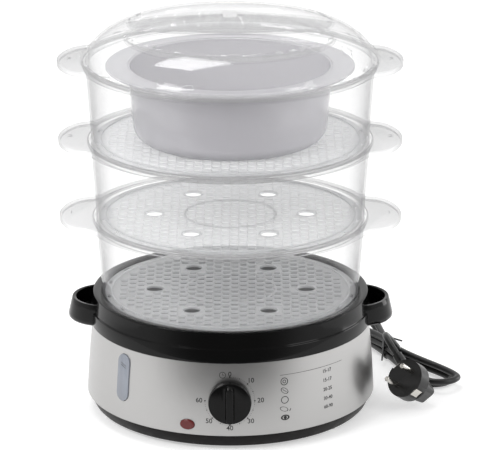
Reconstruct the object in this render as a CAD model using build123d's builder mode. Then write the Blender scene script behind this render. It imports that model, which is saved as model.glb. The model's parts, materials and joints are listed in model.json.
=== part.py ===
from build123d import *
import math
import os

# Electric food steamer: a round base with a water tank and a timer, three clear baskets that
# stack on it, a rice bowl in the top basket and a clear lid. Millimetres, +Z up, the front
# looks along -Y, and the origin lies on the table in the middle of the base.

os.makedirs("parts", exist_ok=True)

# Base housing
foot_height = 3.2
foot_radius = 8.0
foot_ring_radius = 100.0
pan_bottom_radius = 127.0
pan_top_radius = 132.2
pan_top_height = 15.5
pan_wall = 2.4
pan_lip = 2.0
skirt_bottom_radius = 133.3
skirt_top_radius = 127.5
skirt_top_height = 87.0
skirt_bulge = 0.6
sheet_thickness = 0.8
collar_bottom_height = 83.0
collar_step_height = 96.0
collar_top_height = 111.0
collar_band_radius = 129.7
collar_radius = 127.6
collar_wall = 2.5
pocket_center = 112.0
pocket_tip_radius = 150.5
pocket_top_tip_radius = 146.0
pocket_half_width = 34.0
pocket_top_height = 104.0
pocket_floor_height = 87.6
pocket_bottom_height = 81.0
pocket_wall = 3.0
inlet_width = 28.0
inlet_height = 4.0

# Steam and water parts
tank_radius = 100.0
tank_wall = 2.0
tank_floor_height = 38.0
tank_flange_height = 84.0
tank_flange_radius = 117.6
heater_radius = 32.0
heater_neck_radius = 26.5
sleeve_inner_radius = 36.5
sleeve_wall = 1.8
sleeve_height = 40.0
tray_radius = 114.8
tray_seat_height = 94.0
tray_floor_height = 84.4
tray_well_radius = 96.0
tray_wall = 1.6
chimney_radius = 41.0
chimney_height = 16.0

# Baskets, bowl and lid
first_basket_height = 106.0
basket_pitch = 73.0
nest_depth = 5.0
basket_bottom_radii = [118.2, 122.6, 126.4]
basket_top_radii = [123.0, 127.0, 131.0]
flange_radii = [134.0, 135.5, 137.0]
lid_lip_radius = 130.3
basket_wall = 2.0
lobe_reach = 157.0
lobe_tip_radius = 73.5
lobe_corner_radius = 23.0
lobe_half_width = 50.0
lobe_blend = 14.0
rim_thickness = 2.2
rim_lip_width = 1.8
rim_lip_depth = 5.0
floor_seat_width = 2.6
floor_thickness = 1.6
bead_height = 1.4
gutter_width = 5.3
rim_seat_width = 1.5
rim_seat_depth = 1.6
gutter_slots = 18
slot_pitch_across = 19.0
slot_pitch_along = 15.0
slot_length = 12.0
slot_width = 4.0
egg_hole_radius = 8.0
egg_ring_radius = 70.0
bowl_radius = 92.8
bowl_height = 69.0
bowl_flange_radius = 113.0
bowl_wall = 1.8
lid_turn = -8.0
lid_crown_height = 372.5
lid_shoulder = (121.8, 346.8)
scoop_ring_radius = 98.0
scoop_ring_height = 359.5
scoop_floor_height = 351.3
ridge_half_width = 5.0
ridge_end_half_width = 27.0
lid_radius = 131.2
lid_wall = 2.0
vent_radius = 4.5
vent_ring_radius = 117.0
vent_spacing = 19.0

# Front panel
knob_height = 48.0
knob_radius = 19.5
knob_depth = 13.0
knob_gap = 0.8
shaft_radius = 3.0
timer_face = 121.5
bracket_sheet = 1.4
timer_width = 38.0
timer_depth = 13.0
bell_radius = 17.0
bell_depth = 5.5
lamp_height = 24.8
lamp_turn = 16.7
lamp_half_width = 6.75
lamp_half_height = 4.75
window_height = 55.0
window_turn = 47.6
window_width = 15.0
window_length = 44.0
port_radius = 2.0
low_port = -8.0
high_port = 14.0

# Power cord, its tied hank and its plug
cord_diameter = 6.2
gland_height = 28.0
hank_center = Vector(153.8, 114.0, 0)
hank_direction = Vector(0.394, -0.919, 0)
plug_face_center = Vector(161.0, -27.0, 31.5)
plug_radius = 18.3
pin_length = 19.0
pin_radius = 2.4
pin_spacing = 19.0

# Gaps
running_gap = 0.3
nest_clearance = 0.8
screw_gap = 0.05
rim_gap = 0.15

post_turns = [40, 140, 200, 320]
ear_turns = [65, 115, 245, 340]


def turn_profile(profile, mode=Mode.ADD, rounds=None):
    # Turns a closed outline of radius and height; rounds gives the corners to soften by number
    with BuildSketch(Plane.XZ) as section:
        with BuildLine():
            Polyline(*profile, close=True)
        make_face()
        for number, radius in (rounds or {}).items():
            corner = section.vertices().sort_by_distance((profile[number][0], profile[number][1], 0))[0]
            fillet(corner, radius)
    revolve(section.sketch, axis=Axis.Z, mode=mode)


def disc_ring(outer, inner, low, high, mode=Mode.ADD):
    with BuildSketch(Plane.XY.offset(low)) as ring:
        Circle(outer)
        if inner > 0:
            Circle(inner, mode=Mode.SUBTRACT)
    extrude(ring.sketch, amount=high - low, mode=mode)


def skirt_radius(height):
    share = (height - pan_top_height) / (skirt_top_height - pan_top_height)
    straight = skirt_bottom_radius + share * (skirt_top_radius - skirt_bottom_radius)
    return straight + 4 * skirt_bulge * share * (1 - share)


def front_plane(turn, height, radius, lean=0.0):
    # Stands on a circle round the axis with its normal pointing out, turned to the left of the front
    angle = math.radians(-90 - turn)
    tilt = math.radians(lean)
    flat = Vector(math.cos(angle), math.sin(angle), 0)
    across = Vector(-math.sin(angle), math.cos(angle), 0)
    outward = flat * math.cos(tilt) + Vector(0, 0, math.sin(tilt))
    return Plane(origin=flat * radius + Vector(0, 0, height), x_dir=across, z_dir=outward)


def save(builder, label):
    builder.part.label = label
    export_step(builder.part, "parts/" + label + ".step")


# Base pan: the dark bottom ring, its floor with air slots, foot cups and cups for the posts
pan_floor = foot_height
pan_floor_top = pan_floor + pan_wall
pan_lip_radius = skirt_bottom_radius - sheet_thickness - 2 * running_gap - 0.8
post_ring_radius = 121.0
post_radius = 3.2
post_bottom = 12.0
screw_radius = 1.5
with BuildPart() as base_pan:
    turn_profile([
        (0, pan_floor),
        (pan_bottom_radius - 2.0, pan_floor),
        (pan_bottom_radius, pan_floor + 2.0),
        (pan_top_radius, pan_top_height),
        (pan_lip_radius, pan_top_height),
        (pan_lip_radius, pan_top_height + pan_lip),
        (pan_lip_radius - pan_wall, pan_top_height + pan_lip),
        (pan_lip_radius - pan_wall, pan_top_height - 1.0),
        (pan_bottom_radius - pan_wall, pan_floor_top),
        (0, pan_floor_top),
    ])
    with BuildSketch(Plane.XY.offset(pan_floor)):
        for turn in post_turns:
            with PolarLocations(post_ring_radius, 1, start_angle=turn):
                Circle(post_radius)
    extrude(amount=post_bottom - pan_floor)
    with BuildSketch(Plane.XY.offset(pan_floor)):
        for turn in post_turns:
            with PolarLocations(post_ring_radius, 1, start_angle=turn):
                Circle(screw_radius + running_gap)
    extrude(amount=post_bottom - pan_floor, mode=Mode.SUBTRACT)
    with BuildSketch(Plane.XY.offset(pan_floor)):
        with PolarLocations(68, 16):
            SlotOverall(36, 3.0)
    extrude(amount=pan_wall, mode=Mode.SUBTRACT)
save(base_pan, "base_pan")

# Rubber feet under the pan
with BuildPart() as rubber_feet:
    with BuildSketch():
        with PolarLocations(foot_ring_radius, 4, start_angle=45):
            Circle(foot_radius)
    extrude(amount=foot_height)
    chamfer(rubber_feet.edges().group_by(Axis.Z)[0], 0.8)
save(rubber_feet, "rubber_feet")

# Screws from below into the collar's posts
with BuildPart() as base_screws:
    with BuildSketch(Plane.XY.offset(pan_floor - 1.6)):
        for turn in post_turns:
            with PolarLocations(post_ring_radius, 1, start_angle=turn):
                Circle(2.8)
    extrude(amount=1.6)
    with BuildSketch(Plane.XY.offset(pan_floor)):
        for turn in post_turns:
            with PolarLocations(post_ring_radius, 1, start_angle=turn):
                Circle(screw_radius)
    extrude(amount=18.0)
save(base_screws, "base_screws")

# Steel skirt: one turn of sheet between pan and collar, slightly barrelled, with its openings
skirt_middle = (pan_top_height + skirt_top_height) / 2
window_lean = math.degrees(math.atan2(skirt_radius(33) - skirt_radius(77), 44))
with BuildPart() as steel_skirt:
    with BuildSketch(Plane.XZ) as sheet:
        with BuildLine():
            outer = ThreePointArc((skirt_bottom_radius, pan_top_height),
                                  (skirt_radius(skirt_middle), skirt_middle),
                                  (skirt_top_radius, skirt_top_height))
            inner = ThreePointArc((skirt_bottom_radius - sheet_thickness, pan_top_height),
                                  (skirt_radius(skirt_middle) - sheet_thickness, skirt_middle),
                                  (skirt_top_radius - sheet_thickness, skirt_top_height))
            Line(outer @ 0, inner @ 0)
            Line(outer @ 1, inner @ 1)
        make_face()
    revolve(sheet.sketch, axis=Axis.Z)
    disc_ring(skirt_bottom_radius - 0.2, pan_lip_radius + running_gap,
              pan_top_height, pan_top_height + sheet_thickness)
    with BuildSketch(front_plane(0, knob_height, 110)) as shaft_hole:
        Circle(shaft_radius + 2.0)
    extrude(shaft_hole.sketch, amount=40, mode=Mode.SUBTRACT)
    with BuildSketch(front_plane(lamp_turn, lamp_height, 110)) as lamp_hole:
        Ellipse(lamp_half_width + running_gap, lamp_half_height + running_gap)
    extrude(lamp_hole.sketch, amount=40, mode=Mode.SUBTRACT)
    with BuildSketch(front_plane(window_turn, window_height, 110)) as window_hole:
        SlotOverall(window_length + 2 * running_gap, window_width + 2 * running_gap, rotation=90)
    extrude(window_hole.sketch, amount=40, mode=Mode.SUBTRACT)
    with BuildSketch(front_plane(180, gland_height, 110)) as gland_hole:
        Circle(6.0 + running_gap)
    extrude(gland_hole.sketch, amount=40, mode=Mode.SUBTRACT)
save(steel_skirt, "steel_skirt")

# Collar: the glossy moulding with both side pockets, the seats for basket and tray, and the posts
basket_seat_radius = basket_bottom_radii[0] + nest_clearance
tray_bore = tray_radius + nest_clearance
ring_wall = 2.0
tray_ledge = 2.0
flange_top = tank_flange_height + tank_wall
with BuildPart() as collar:
    for side in (-1, 1):
        with BuildSketch(Plane.XY.offset(pocket_bottom_height)):
            with Locations((side * pocket_center, 0)):
                Ellipse(pocket_tip_radius - pocket_center, pocket_half_width - 3.0)
        with BuildSketch(Plane.XY.offset(pocket_top_height)):
            with Locations((side * pocket_center, 0)):
                Ellipse(pocket_top_tip_radius - pocket_center, pocket_half_width)
        loft()
    fillet(collar.edges().group_by(Axis.Z)[0], 6.0)
    with BuildSketch(Plane.XY.offset(pocket_floor_height)):
        for side in (-1, 1):
            with Locations((side * pocket_center, 0)):
                Ellipse(pocket_top_tip_radius - pocket_center - pocket_wall,
                        pocket_half_width - pocket_wall)
    extrude(amount=30, mode=Mode.SUBTRACT)
    turn_profile([
        (0, collar_bottom_height),
        (collar_band_radius, collar_bottom_height),
        (collar_band_radius, collar_step_height - 0.6),
        (collar_band_radius - 0.6, collar_step_height),
        (collar_radius + 0.3, collar_step_height),
        (collar_radius - 0.5, collar_top_height - 1.2),
        (collar_radius - 1.7, collar_top_height),
        (0, collar_top_height),
    ])
    turn_profile([
        (0, pocket_bottom_height - 1),
        (skirt_radius(pocket_bottom_height) + running_gap, pocket_bottom_height - 1),
        (skirt_top_radius + running_gap, skirt_top_height + running_gap),
        (collar_radius - collar_wall, skirt_top_height + running_gap),
        (collar_radius - collar_wall, collar_top_height - collar_wall),
        (basket_seat_radius, collar_top_height - collar_wall),
        (basket_seat_radius, collar_top_height + 1),
        (0, collar_top_height + 1),
    ], mode=Mode.SUBTRACT)
    turn_profile([
        (basket_seat_radius, collar_top_height - collar_wall),
        (basket_seat_radius, first_basket_height),
        (tray_bore, first_basket_height),
        (tray_bore, tray_seat_height),
        (tray_bore - 5.0, tray_seat_height),
        (tray_bore - 5.0, tray_seat_height - tray_ledge),
        (tray_bore, tray_seat_height - tray_ledge),
        (tray_bore, flange_top),
        (tray_bore + ring_wall, flange_top),
        (tray_bore + ring_wall, first_basket_height - ring_wall),
        (basket_seat_radius + ring_wall, first_basket_height - ring_wall),
        (basket_seat_radius + ring_wall, collar_top_height - collar_wall),
    ])
    with BuildSketch(Plane.XY.offset(pocket_floor_height - 0.4)):
        for side in (-1, 1):
            with Locations((side * (collar_band_radius - 9), 0)):
                Rectangle(24, inlet_width)
    extrude(amount=inlet_height, mode=Mode.SUBTRACT)
    with BuildSketch(Plane.XY.offset(post_bottom)):
        for turn in post_turns:
            with PolarLocations(post_ring_radius, 1, start_angle=turn):
                Circle(post_radius)
    extrude(amount=first_basket_height - ring_wall + 0.5 - post_bottom)
    with BuildSketch(Plane.XY.offset(post_bottom)):
        for turn in post_turns:
            with PolarLocations(post_ring_radius, 1, start_angle=turn):
                Circle(screw_radius + screw_gap)
    extrude(amount=12.0, mode=Mode.SUBTRACT)
    with BuildSketch(Plane.XY.offset(flange_top)):
        for turn in ear_turns:
            with PolarLocations(post_ring_radius, 1, start_angle=turn):
                Circle(post_radius)
    extrude(amount=first_basket_height - ring_wall + 0.5 - flange_top)
    with BuildSketch(Plane.XY.offset(flange_top)):
        for turn in ear_turns:
            with PolarLocations(post_ring_radius, 1, start_angle=turn):
                Circle(screw_radius + screw_gap)
    extrude(amount=10.0, mode=Mode.SUBTRACT)
save(collar, "collar")

# Water tank: a bowl hung from a flange, with a hole in its floor for the heater
tank_hole_radius = heater_neck_radius + running_gap
with BuildPart() as water_tank:
    turn_profile([
        (tank_hole_radius, tank_floor_height),
        (tank_radius - 6.0, tank_floor_height),
        (tank_radius - 1.0, tank_floor_height + 5.0),
        (tank_radius, tank_flange_height),
        (tank_flange_radius, tank_flange_height),
        (tank_flange_radius, flange_top),
        (tank_radius - tank_wall, flange_top),
        (tank_radius - tank_wall - 1.0, tank_floor_height + 6.0),
        (tank_radius - tank_wall - 5.5, tank_floor_height + tank_wall),
        (tank_hole_radius, tank_floor_height + tank_wall),
    ])
    with BuildSketch(Plane.XY.offset(tank_flange_height)):
        for turn in ear_turns:
            with PolarLocations(post_ring_radius - 2, 1, start_angle=turn):
                Rectangle(11, 8)
    extrude(amount=tank_wall)
    with BuildSketch(Plane.XY.offset(tank_flange_height)):
        for turn in ear_turns:
            with PolarLocations(post_ring_radius, 1, start_angle=turn):
                Circle(screw_radius + running_gap)
    extrude(amount=tank_wall, mode=Mode.SUBTRACT)
    with BuildSketch(front_plane(window_turn, window_height, tank_radius - 12)) as level_ports:
        with Locations((0, low_port), (0, high_port)):
            Circle(port_radius)
    extrude(level_ports.sketch, amount=20, mode=Mode.SUBTRACT)
save(water_tank, "water_tank")

with BuildPart() as tank_screws:
    with BuildSketch(Plane.XY.offset(tank_flange_height - 1.6)):
        for turn in ear_turns:
            with PolarLocations(post_ring_radius, 1, start_angle=turn):
                Circle(2.8)
    extrude(amount=1.6)
    with BuildSketch(Plane.XY.offset(tank_flange_height)):
        for turn in ear_turns:
            with PolarLocations(post_ring_radius, 1, start_angle=turn):
                Circle(screw_radius)
    extrude(amount=9.0)
save(tank_screws, "tank_screws")

# Heater: cast plate with a neck through the tank floor, sealed by a ring and clamped from below
gasket_thickness = 1.2
tank_floor_top = tank_floor_height + tank_wall
plate_bottom = tank_floor_top + gasket_thickness
plate_thickness = 3.0
neck_bottom = 31.0
clamp_thickness = 3.0
with BuildPart() as heater_plate:
    turn_profile([
        (0, neck_bottom),
        (heater_neck_radius, neck_bottom),
        (heater_neck_radius, plate_bottom),
        (heater_radius, plate_bottom),
        (heater_radius, plate_bottom + 2.0),
        (heater_radius - 2.0, plate_bottom + plate_thickness),
        (14.0, plate_bottom + plate_thickness),
        (11.0, plate_bottom + plate_thickness + 1.5),
        (0, plate_bottom + plate_thickness + 1.5),
    ])
    with BuildSketch(Plane.XY.offset(neck_bottom)):
        with PolarLocations(22.0, 3, start_angle=90):
            Circle(screw_radius + screw_gap)
    extrude(amount=7.0, mode=Mode.SUBTRACT)
save(heater_plate, "heater_plate")

with BuildPart() as heater_gasket:
    disc_ring(heater_radius - 0.5, heater_neck_radius + running_gap, tank_floor_top, plate_bottom)
save(heater_gasket, "heater_gasket")

with BuildPart() as heater_clamp:
    with BuildSketch(Plane.XY.offset(neck_bottom - 1.6)):
        Circle(heater_radius + 2.0)
        Circle(16.5, mode=Mode.SUBTRACT)
        with PolarLocations(22.0, 3, start_angle=90):
            Circle(screw_radius + running_gap, mode=Mode.SUBTRACT)
    extrude(amount=1.6)
    disc_ring(heater_radius + 2.0, heater_radius + 0.4, neck_bottom, tank_floor_height)
save(heater_clamp, "heater_clamp")

with BuildPart() as clamp_screws:
    with BuildSketch(Plane.XY.offset(neck_bottom - 3.2)):
        with PolarLocations(22.0, 3, start_angle=90):
            Circle(2.8)
    extrude(amount=1.6)
    with BuildSketch(Plane.XY.offset(neck_bottom - 1.6)):
        with PolarLocations(22.0, 3, start_angle=90):
            Circle(screw_radius)
    extrude(amount=8.0)
save(clamp_screws, "clamp_screws")

# Heating element: a bent length of sheathed tube under the plate with two terminal pins
element_radius = 3.2
element_ring = 12.0
element_turn = 215
element_pin = 9.0
element_height = neck_bottom - element_radius
with BuildPart() as heating_element:
    with BuildSketch(Plane.XZ) as tube_section:
        with Locations((element_ring, element_height)):
            Circle(element_radius)
    revolve(tube_section.sketch, axis=Axis.Z, revolution_arc=element_turn)
    with BuildSketch(Plane.XZ) as pin_start:
        with Locations((element_ring, element_height)):
            Circle(1.4)
    extrude(pin_start.sketch, amount=element_pin)
    end_angle = math.radians(element_turn)
    end_heading = Vector(-math.sin(end_angle), math.cos(end_angle), 0)
    end_center = Vector(element_ring * math.cos(end_angle), element_ring * math.sin(end_angle),
                        element_height)
    with BuildSketch(Plane(origin=end_center, z_dir=end_heading)) as pin_end:
        Circle(1.4)
    extrude(pin_end.sketch, amount=element_pin)
save(heating_element, "heating_element")

# Thermostat disc with its two tabs, pressed on the plate inside the element ring
tab_across = 4.0
tab_width = 4.8
tab_height = neck_bottom - 10.0
with BuildPart() as thermostat:
    disc_ring(7.5, 0, neck_bottom - 7.0, neck_bottom)
    with BuildSketch(Plane.XY.offset(neck_bottom - 13.0)):
        with Locations((-tab_across, 0), (tab_across, 0)):
            Rectangle(0.8, tab_width)
    extrude(amount=6.0)
save(thermostat, "thermostat")

# Thermal fuse: a small sealed barrel in a saddle under the clamp plate
clamp_bottom = neck_bottom - 1.6
fuse_radius = 2.0
fuse_length = 16.0
fuse_center = Vector(27.0, 0, clamp_bottom - fuse_radius - 0.4)
with BuildPart() as thermal_fuse:
    fuse_end = Plane(origin=fuse_center - Vector(0, fuse_length / 2, 0), z_dir=(0, 1, 0))
    with BuildSketch(fuse_end) as fuse_section:
        Circle(fuse_radius)
    extrude(fuse_section.sketch, amount=fuse_length)
    with BuildSketch(Plane.XY.offset(clamp_bottom)) as saddle:
        with Locations((fuse_center.X, 0)):
            RectangleRounded(6.4, 6.0, 1.0)
    extrude(saddle.sketch, amount=-2 * fuse_radius - 0.8)
save(thermal_fuse, "thermal_fuse")

# Steam sleeve: a loose ring round the heater with water notches in its foot
sleeve_bottom = tank_floor_top
with BuildPart() as steam_sleeve:
    turn_profile([
        (sleeve_inner_radius, sleeve_bottom),
        (sleeve_inner_radius + sleeve_wall, sleeve_bottom),
        (sleeve_inner_radius + sleeve_wall, sleeve_bottom + sleeve_height),
        (sleeve_inner_radius - 1.5, sleeve_bottom + sleeve_height),
        (sleeve_inner_radius - 1.5, sleeve_bottom + sleeve_height - 1.5),
        (sleeve_inner_radius, sleeve_bottom + sleeve_height - 1.5),
    ])
    with BuildSketch(Plane.XY.offset(sleeve_bottom)):
        with PolarLocations(sleeve_inner_radius, 4, start_angle=45):
            Rectangle(8, 12)
    extrude(amount=5.0, mode=Mode.SUBTRACT)
save(steam_sleeve, "steam_sleeve")

# Drip tray: a shallow ring-shaped dish, with the steam chimney set on the edge of its hole
with BuildPart() as drip_tray:
    turn_profile([
        (chimney_radius, tray_floor_height),
        (tray_well_radius - 4.0, tray_floor_height),
        (tray_well_radius, tray_floor_height + 4.0),
        (tray_well_radius, tray_seat_height),
        (tray_radius, tray_seat_height),
        (tray_radius, tray_seat_height + tray_wall),
        (tray_well_radius - tray_wall, tray_seat_height + tray_wall),
        (tray_well_radius - tray_wall, tray_floor_height + 4.6),
        (tray_well_radius - 4.7, tray_floor_height + tray_wall),
        (chimney_radius, tray_floor_height + tray_wall),
    ])
save(drip_tray, "drip_tray")

with BuildPart() as tray_chimney:
    disc_ring(chimney_radius + tray_wall, chimney_radius,
              tray_floor_height + tray_wall, tray_floor_height + chimney_height)
save(tray_chimney, "tray_chimney")

# Timer: bracket on the pan, clockwork case with bell, shaft and knob
case_back = timer_face - bracket_sheet - timer_depth
with BuildPart() as timer_bracket:
    with BuildSketch(front_plane(0, pan_floor_top, timer_face - bracket_sheet)) as bracket_plate:
        with Locations((0, 33.0)):
            Rectangle(timer_width + 2, 66.0)
        with Locations((0, knob_height - pan_floor_top)):
            Circle(shaft_radius + 2.0, mode=Mode.SUBTRACT)
        with Locations((-15.0, knob_height - pan_floor_top), (15.0, knob_height - pan_floor_top)):
            Circle(screw_radius + running_gap, mode=Mode.SUBTRACT)
    extrude(bracket_plate.sketch, amount=bracket_sheet)
    with BuildSketch(Plane.XY.offset(pan_floor_top)) as bracket_foot:
        with Locations((0, -timer_face + bracket_sheet + 6.0)):
            Rectangle(timer_width + 2, 12.0)
    extrude(bracket_foot.sketch, amount=bracket_sheet)
save(timer_bracket, "timer_bracket")

with BuildPart() as timer_case:
    with BuildSketch(front_plane(0, knob_height, case_back)) as case_outline:
        RectangleRounded(timer_width, timer_width, 3.0)
    extrude(case_outline.sketch, amount=timer_depth)
    with BuildSketch(front_plane(0, knob_height, case_back + timer_depth - 8.0)) as case_bores:
        Circle(shaft_radius + running_gap)
    extrude(case_bores.sketch, amount=8.0, mode=Mode.SUBTRACT)
    with BuildSketch(front_plane(0, knob_height, case_back + timer_depth - 6.0)) as case_screw_holes:
        with Locations((-15.0, 0), (15.0, 0)):
            Circle(screw_radius + screw_gap)
    extrude(case_screw_holes.sketch, amount=6.0, mode=Mode.SUBTRACT)
    with BuildSketch(front_plane(0, knob_height - timer_width / 2 - 5.0, case_back + 4.0)) as case_tabs:
        with Locations((-9.0, 2.5), (9.0, 2.5)):
            Rectangle(4.8, 5.0)
    extrude(case_tabs.sketch, amount=0.8)
save(timer_case, "timer_case")

with BuildPart() as timer_bell:
    bell_place = Plane(origin=(0, -case_back, knob_height), x_dir=(0, 0, 1), z_dir=(-1, 0, 0))
    with BuildSketch(bell_place) as bell_section:
        with BuildLine():
            Polyline((0, 0), (2.0, 0), (2.0, bell_depth - 1.1), (bell_radius * 0.5, bell_depth - 1.3),
                     (bell_radius * 0.82, bell_depth - 2.4), (bell_radius - 1.0, 1.1),
                     (bell_radius - 1.0, 0), (bell_radius, 0), (bell_radius, 1.5),
                     (bell_radius * 0.85, bell_depth - 1.5), (bell_radius * 0.5, bell_depth - 0.2),
                     (0, bell_depth), close=True)
        make_face()
    revolve(bell_section.sketch, axis=Axis((0, -case_back, knob_height), (0, 1, 0)))
save(timer_bell, "timer_bell")

with BuildPart() as timer_screws:
    with BuildSketch(front_plane(0, knob_height, timer_face)) as screw_heads:
        with Locations((-15.0, 0), (15.0, 0)):
            Circle(2.8)
    extrude(screw_heads.sketch, amount=1.6)
    with BuildSketch(front_plane(0, knob_height, timer_face - bracket_sheet - 5.0)) as screw_shanks:
        with Locations((-15.0, 0), (15.0, 0)):
            Circle(screw_radius)
    extrude(screw_shanks.sketch, amount=5.0 + bracket_sheet)
save(timer_screws, "timer_screws")

knob_back = skirt_radius(knob_height - knob_radius) + knob_gap
knob_front = knob_back + knob_depth
shaft_back = case_back + timer_depth - 7.0
shaft_front = knob_back + 8.0
with BuildPart() as timer_shaft:
    with BuildSketch(front_plane(0, knob_height, shaft_back)) as shaft_section:
        Circle(shaft_radius)
    extrude(shaft_section.sketch, amount=shaft_front - shaft_back)
save(timer_shaft, "timer_shaft")

# Knob: a shallow cap with a tapered grip across its face and a bore for the shaft
grip_width = 6.0
grip_height = 7.5
with BuildPart() as timer_knob:
    with BuildSketch(front_plane(0, knob_height, knob_back)) as knob_base:
        Circle(knob_radius)
    extrude(knob_base.sketch, amount=knob_depth - grip_height, taper=4)
    with BuildSketch(front_plane(0, knob_height, knob_front - grip_height)) as grip_base:
        SlotOverall(2 * knob_radius - 3.5, grip_width + 2.5, rotation=90)
    extrude(grip_base.sketch, amount=grip_height, taper=9)
    fillet(timer_knob.edges().group_by(Axis.Y)[0], 0.8)
    with BuildSketch(front_plane(0, knob_height, knob_back)) as knob_bore:
        Circle(shaft_radius)
    extrude(knob_bore.sketch, amount=8.0, mode=Mode.SUBTRACT)
    with BuildSketch(front_plane(0, knob_height, knob_back)) as knob_hollow:
        Circle(knob_radius - 2.0)
        Circle(shaft_radius + 2.5, mode=Mode.SUBTRACT)
    extrude(knob_hollow.sketch, amount=3.5, mode=Mode.SUBTRACT)
save(timer_knob, "timer_knob")

# Indicator lamp: oval lens through the skirt and its holder behind
lamp_face = skirt_radius(lamp_height) + 1.6
lamp_shoulder = skirt_radius(lamp_height) - sheet_thickness - 1.6
with BuildPart() as lamp_lens:
    with BuildSketch(front_plane(lamp_turn, lamp_height, lamp_shoulder)) as lens_section:
        Ellipse(lamp_half_width, lamp_half_height)
    extrude(lens_section.sketch, amount=lamp_face - lamp_shoulder)
    fillet(lamp_lens.faces().sort_by(Axis.Y)[0].edges(), 1.0)
    with BuildSketch(front_plane(lamp_turn, lamp_height, lamp_shoulder - 1.2)) as lens_flange:
        Ellipse(lamp_half_width + 1.5, lamp_half_height + 1.2)
    extrude(lens_flange.sketch, amount=1.2)
save(lamp_lens, "lamp_lens")

with BuildPart() as lamp_holder:
    with BuildSketch(front_plane(lamp_turn, lamp_height, lamp_shoulder - 1.2 - 18.0)) as holder_outline:
        RectangleRounded(10.0, 7.6, 1.2)
    extrude(holder_outline.sketch, amount=18.0)
save(lamp_holder, "lamp_holder")

# Water gauge: clear window in the skirt, and the duct that joins it to the tank
window_radius = skirt_radius(window_height)
window_face = window_radius + 0.9
duct_front = window_radius - sheet_thickness - 3.6
window_seat = front_plane(window_turn, window_height, duct_front, window_lean)
with BuildPart() as level_window:
    with BuildSketch(window_seat.offset(1.2)) as pane:
        SlotOverall(window_length, window_width, rotation=90)
    extrude(pane.sketch, amount=window_face - duct_front - 1.2)
save(level_window, "level_window")

with BuildPart() as window_gasket:
    with BuildSketch(window_seat) as seal:
        SlotOverall(window_length, window_width, rotation=90)
        SlotOverall(window_length - 4.0, window_width - 4.0, rotation=90, mode=Mode.SUBTRACT)
    extrude(seal.sketch, amount=1.2)
save(window_gasket, "window_gasket")

duct_depth = 9.0
with BuildPart() as gauge_duct:
    with BuildSketch(front_plane(window_turn, window_height, tank_radius + running_gap)) as branches:
        with Locations((0, low_port), (0, high_port)):
            Circle(port_radius + 1.5)
    extrude(branches.sketch, amount=duct_front - duct_depth + 2.0 - tank_radius)
    with BuildSketch(window_seat) as duct:
        SlotOverall(window_length, window_width, rotation=90)
    extrude(duct.sketch, amount=-duct_depth)
    with BuildSketch(window_seat) as duct_hollow:
        SlotOverall(window_length - 4.0, window_width - 4.0, rotation=90)
    extrude(duct_hollow.sketch, amount=-duct_depth + 1.6, mode=Mode.SUBTRACT)
    with BuildSketch(front_plane(window_turn, window_height, tank_radius - 5)) as branch_bores:
        with Locations((0, low_port), (0, high_port)):
            Circle(port_radius)
    extrude(branch_bores.sketch, amount=duct_front - 2.0 - tank_radius, mode=Mode.SUBTRACT)
save(gauge_duct, "gauge_duct")

# Mains side inside the base: terminal block and the sheathed lead from the gland to it
block_center = Vector(0, 44.0, 0)
with BuildPart() as terminal_block:
    with BuildSketch(Plane.XY.offset(pan_floor_top)):
        with Locations((block_center.X, block_center.Y)):
            RectangleRounded(30.0, 18.0, 1.5)
    extrude(amount=12.0)
    with BuildSketch(Plane.XY.offset(pan_floor_top + 12.0)):
        with Locations((block_center.X, block_center.Y)):
            with GridLocations(9.0, 9.0, 3, 2):
                Circle(1.8)
    extrude(amount=-4.0, mode=Mode.SUBTRACT)
save(terminal_block, "terminal_block")


def turn_between(first, second):
    return first.get_angle(second)


def tube_radii(points):
    # Each corner's arc is 0.45 of the shorter of its two runs over the tangent of half the turn
    radii = []
    for before, corner, after in zip(points, points[1:], points[2:]):
        into = corner - before
        out_of = after - corner
        half = math.radians(turn_between(into, out_of)) / 2
        radii.append(0.45 * min(into.length, out_of.length) / math.tan(half))
    return radii


def tube(points, diameter, label):
    radii = tube_radii(points)
    with BuildPart() as piece:
        with BuildLine() as route:
            FilletPolyline(*points, radius=radii)
        section_plane = Plane(origin=points[0], z_dir=points[1] - points[0])
        with BuildSketch(section_plane) as section:
            Circle(diameter / 2)
        sweep(section.sketch, path=route.wire())
    expected = math.pi * diameter ** 2 / 4 * route.wire().length
    print(label, "radii", [round(r, 1) for r in radii], "length", round(route.wire().length, 1),
          "volume over section times length", round(piece.part.volume / expected, 4))
    return piece


gland_inner_end = 118.0
sleeve_tip = knob_front
inner_lead = tube([
    Vector(0, gland_inner_end, gland_height),
    Vector(0, gland_inner_end - 21.0, gland_height),
    Vector(0, block_center.Y + 31.0, pan_floor_top + 8.4),
    Vector(0, block_center.Y + 9.0, pan_floor_top + 8.4),
], cord_diameter, "inner_lead")
save(inner_lead, "inner_lead")

# Wires inside the base, each from a flat face to a flat face: terminal block, timer, thermostat,
# fuse, element and lamp
wire_diameter = 1.8
lamp_lead_diameter = 2.6
wire_reach = 11.6
block_face = block_center.Y - 9.0
block_height = pan_floor_top + 5.9
timer_tab = Vector(9.0, -case_back - 4.0, knob_height - timer_width / 2 - 2.5)
tab_edge = Vector(tab_across, tab_width / 2, tab_height)
pin_one = Vector(element_ring, -element_pin, element_height)
pin_two = end_center + end_heading * element_pin
holder_back = front_plane(lamp_turn, lamp_height, lamp_shoulder - 1.2 - 18.0)


def flip(point):
    return Vector(-point.X, point.Y, point.Z)


live_wire = tube([
    Vector(-9.0, block_face, block_height),
    Vector(-9.0, block_face - 20.0, block_height),
    Vector(-30.0, -30.0, pan_floor_top + 3.4),
    Vector(-22.0, -80.0, pan_floor_top + 8.0),
    flip(timer_tab) + Vector(0, 14.0, 0),
    flip(timer_tab),
], wire_diameter, "live_wire")
save(live_wire, "live_wire")

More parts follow.
